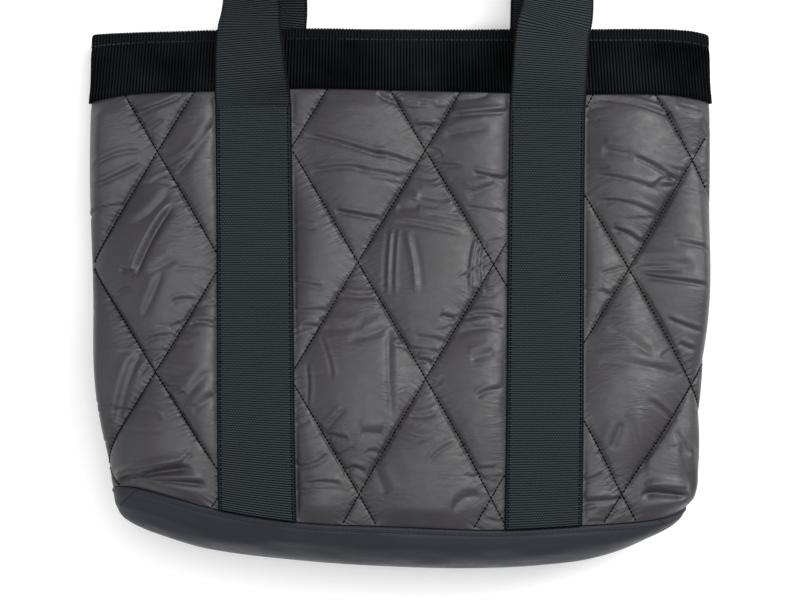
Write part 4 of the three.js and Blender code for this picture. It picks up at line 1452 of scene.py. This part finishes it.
# Every piece, listed in groups, rides on the root body; the solids they dress are hidden.
SLOTS = {
    "quilted_nylon": [front_panel, back_panel, *quilting],
    "base_nylon": [base, base_stitches],
    "corduroy": [band, band_stitches],
    "webbing": [front_handle, back_handle, *leg_stitches, *cross_stitches],
}
for slot, group in SLOTS.items():
    for piece in group:
        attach(piece, "root")
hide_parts("front_panel")
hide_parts("back_panel")
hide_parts("base_panel")
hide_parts("top_band")
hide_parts("front_handle")
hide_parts("back_handle")

# The camera looks straight down from the photograph's place.
CAMERA_HEIGHT = 1.5
VIEW_WIDTH = 0.539  # what the picture's width covers on the floor
VIEW_MIDDLE = (-0.0002, -0.12236)
camera_data = bpy.data.cameras.new("camera")
camera_data.angle = 2 * math.atan(VIEW_WIDTH / 2 / CAMERA_HEIGHT)
camera = bpy.data.objects.new("camera", camera_data)
camera.location = (*VIEW_MIDDLE, CAMERA_HEIGHT)
bpy.context.scene.collection.objects.link(camera)
bpy.context.scene.camera = camera

# A pale floor and soft studio light, strongest from the upper right.
FLOOR_REACH = 4  # from the middle to each side
FLOOR_DROP = 0.0002  # how far below the bag it lies
floor_mesh = bpy.data.meshes.new("floor")
signs = ((-1, -1), (1, -1), (1, 1), (-1, 1))
corners = [(x * FLOOR_REACH, y * FLOOR_REACH, -FLOOR_DROP) for x, y in signs]
floor_mesh.from_pydata(corners, [], [(0, 1, 2, 3)])
floor = bpy.data.objects.new("floor", floor_mesh)
bpy.context.scene.collection.objects.link(floor)
pale_floor = Finish("pale_floor", Roughness=0.9)
pale_floor.shader.inputs["Base Color"].default_value = (0.95, 0.95, 0.95, 1)
pale_floor.shader.inputs["Emission Color"].default_value = (1, 1, 1, 1)
pale_floor.shader.inputs["Emission Strength"].default_value = 0.08
floor_mesh.materials.append(pale_floor.material)


def softbox(name, place, size, power, aim=(0, -0.1, 0)):
    light = bpy.data.lights.new(name, "AREA")
    light.shape = "SQUARE"
    light.size = size
    light.energy = power
    obj = bpy.data.objects.new(name, light)
    obj.location = place
    aim_at = [a - b for a, b in zip(aim, place)]
    distance = math.hypot(*aim_at)
    tilt = math.acos(-aim_at[2] / distance)
    heading = math.atan2(aim_at[1], aim_at[0]) - math.pi / 2
    obj.rotation_euler = (tilt, 0, heading)
    obj.visible_camera = False
    bpy.context.scene.collection.objects.link(obj)


softbox("key_light", (1.6, 1.0, 1.5), 1.3, 50)
softbox("top_light", (0.1, 0.1, 2.4), 2.2, 40)
softbox("left_light", (-1.9, -0.4, 1.2), 1.0, 6)

world = bpy.data.worlds.new("studio")
world.use_nodes = True
world.node_tree.nodes["Background"].inputs[0].default_value = (1, 1, 1, 1)
world.node_tree.nodes["Background"].inputs[1].default_value = 0.5
bpy.context.scene.world = world
bpy.context.scene.view_settings.view_transform = "Standard"
bpy.context.scene.view_settings.look = "None"
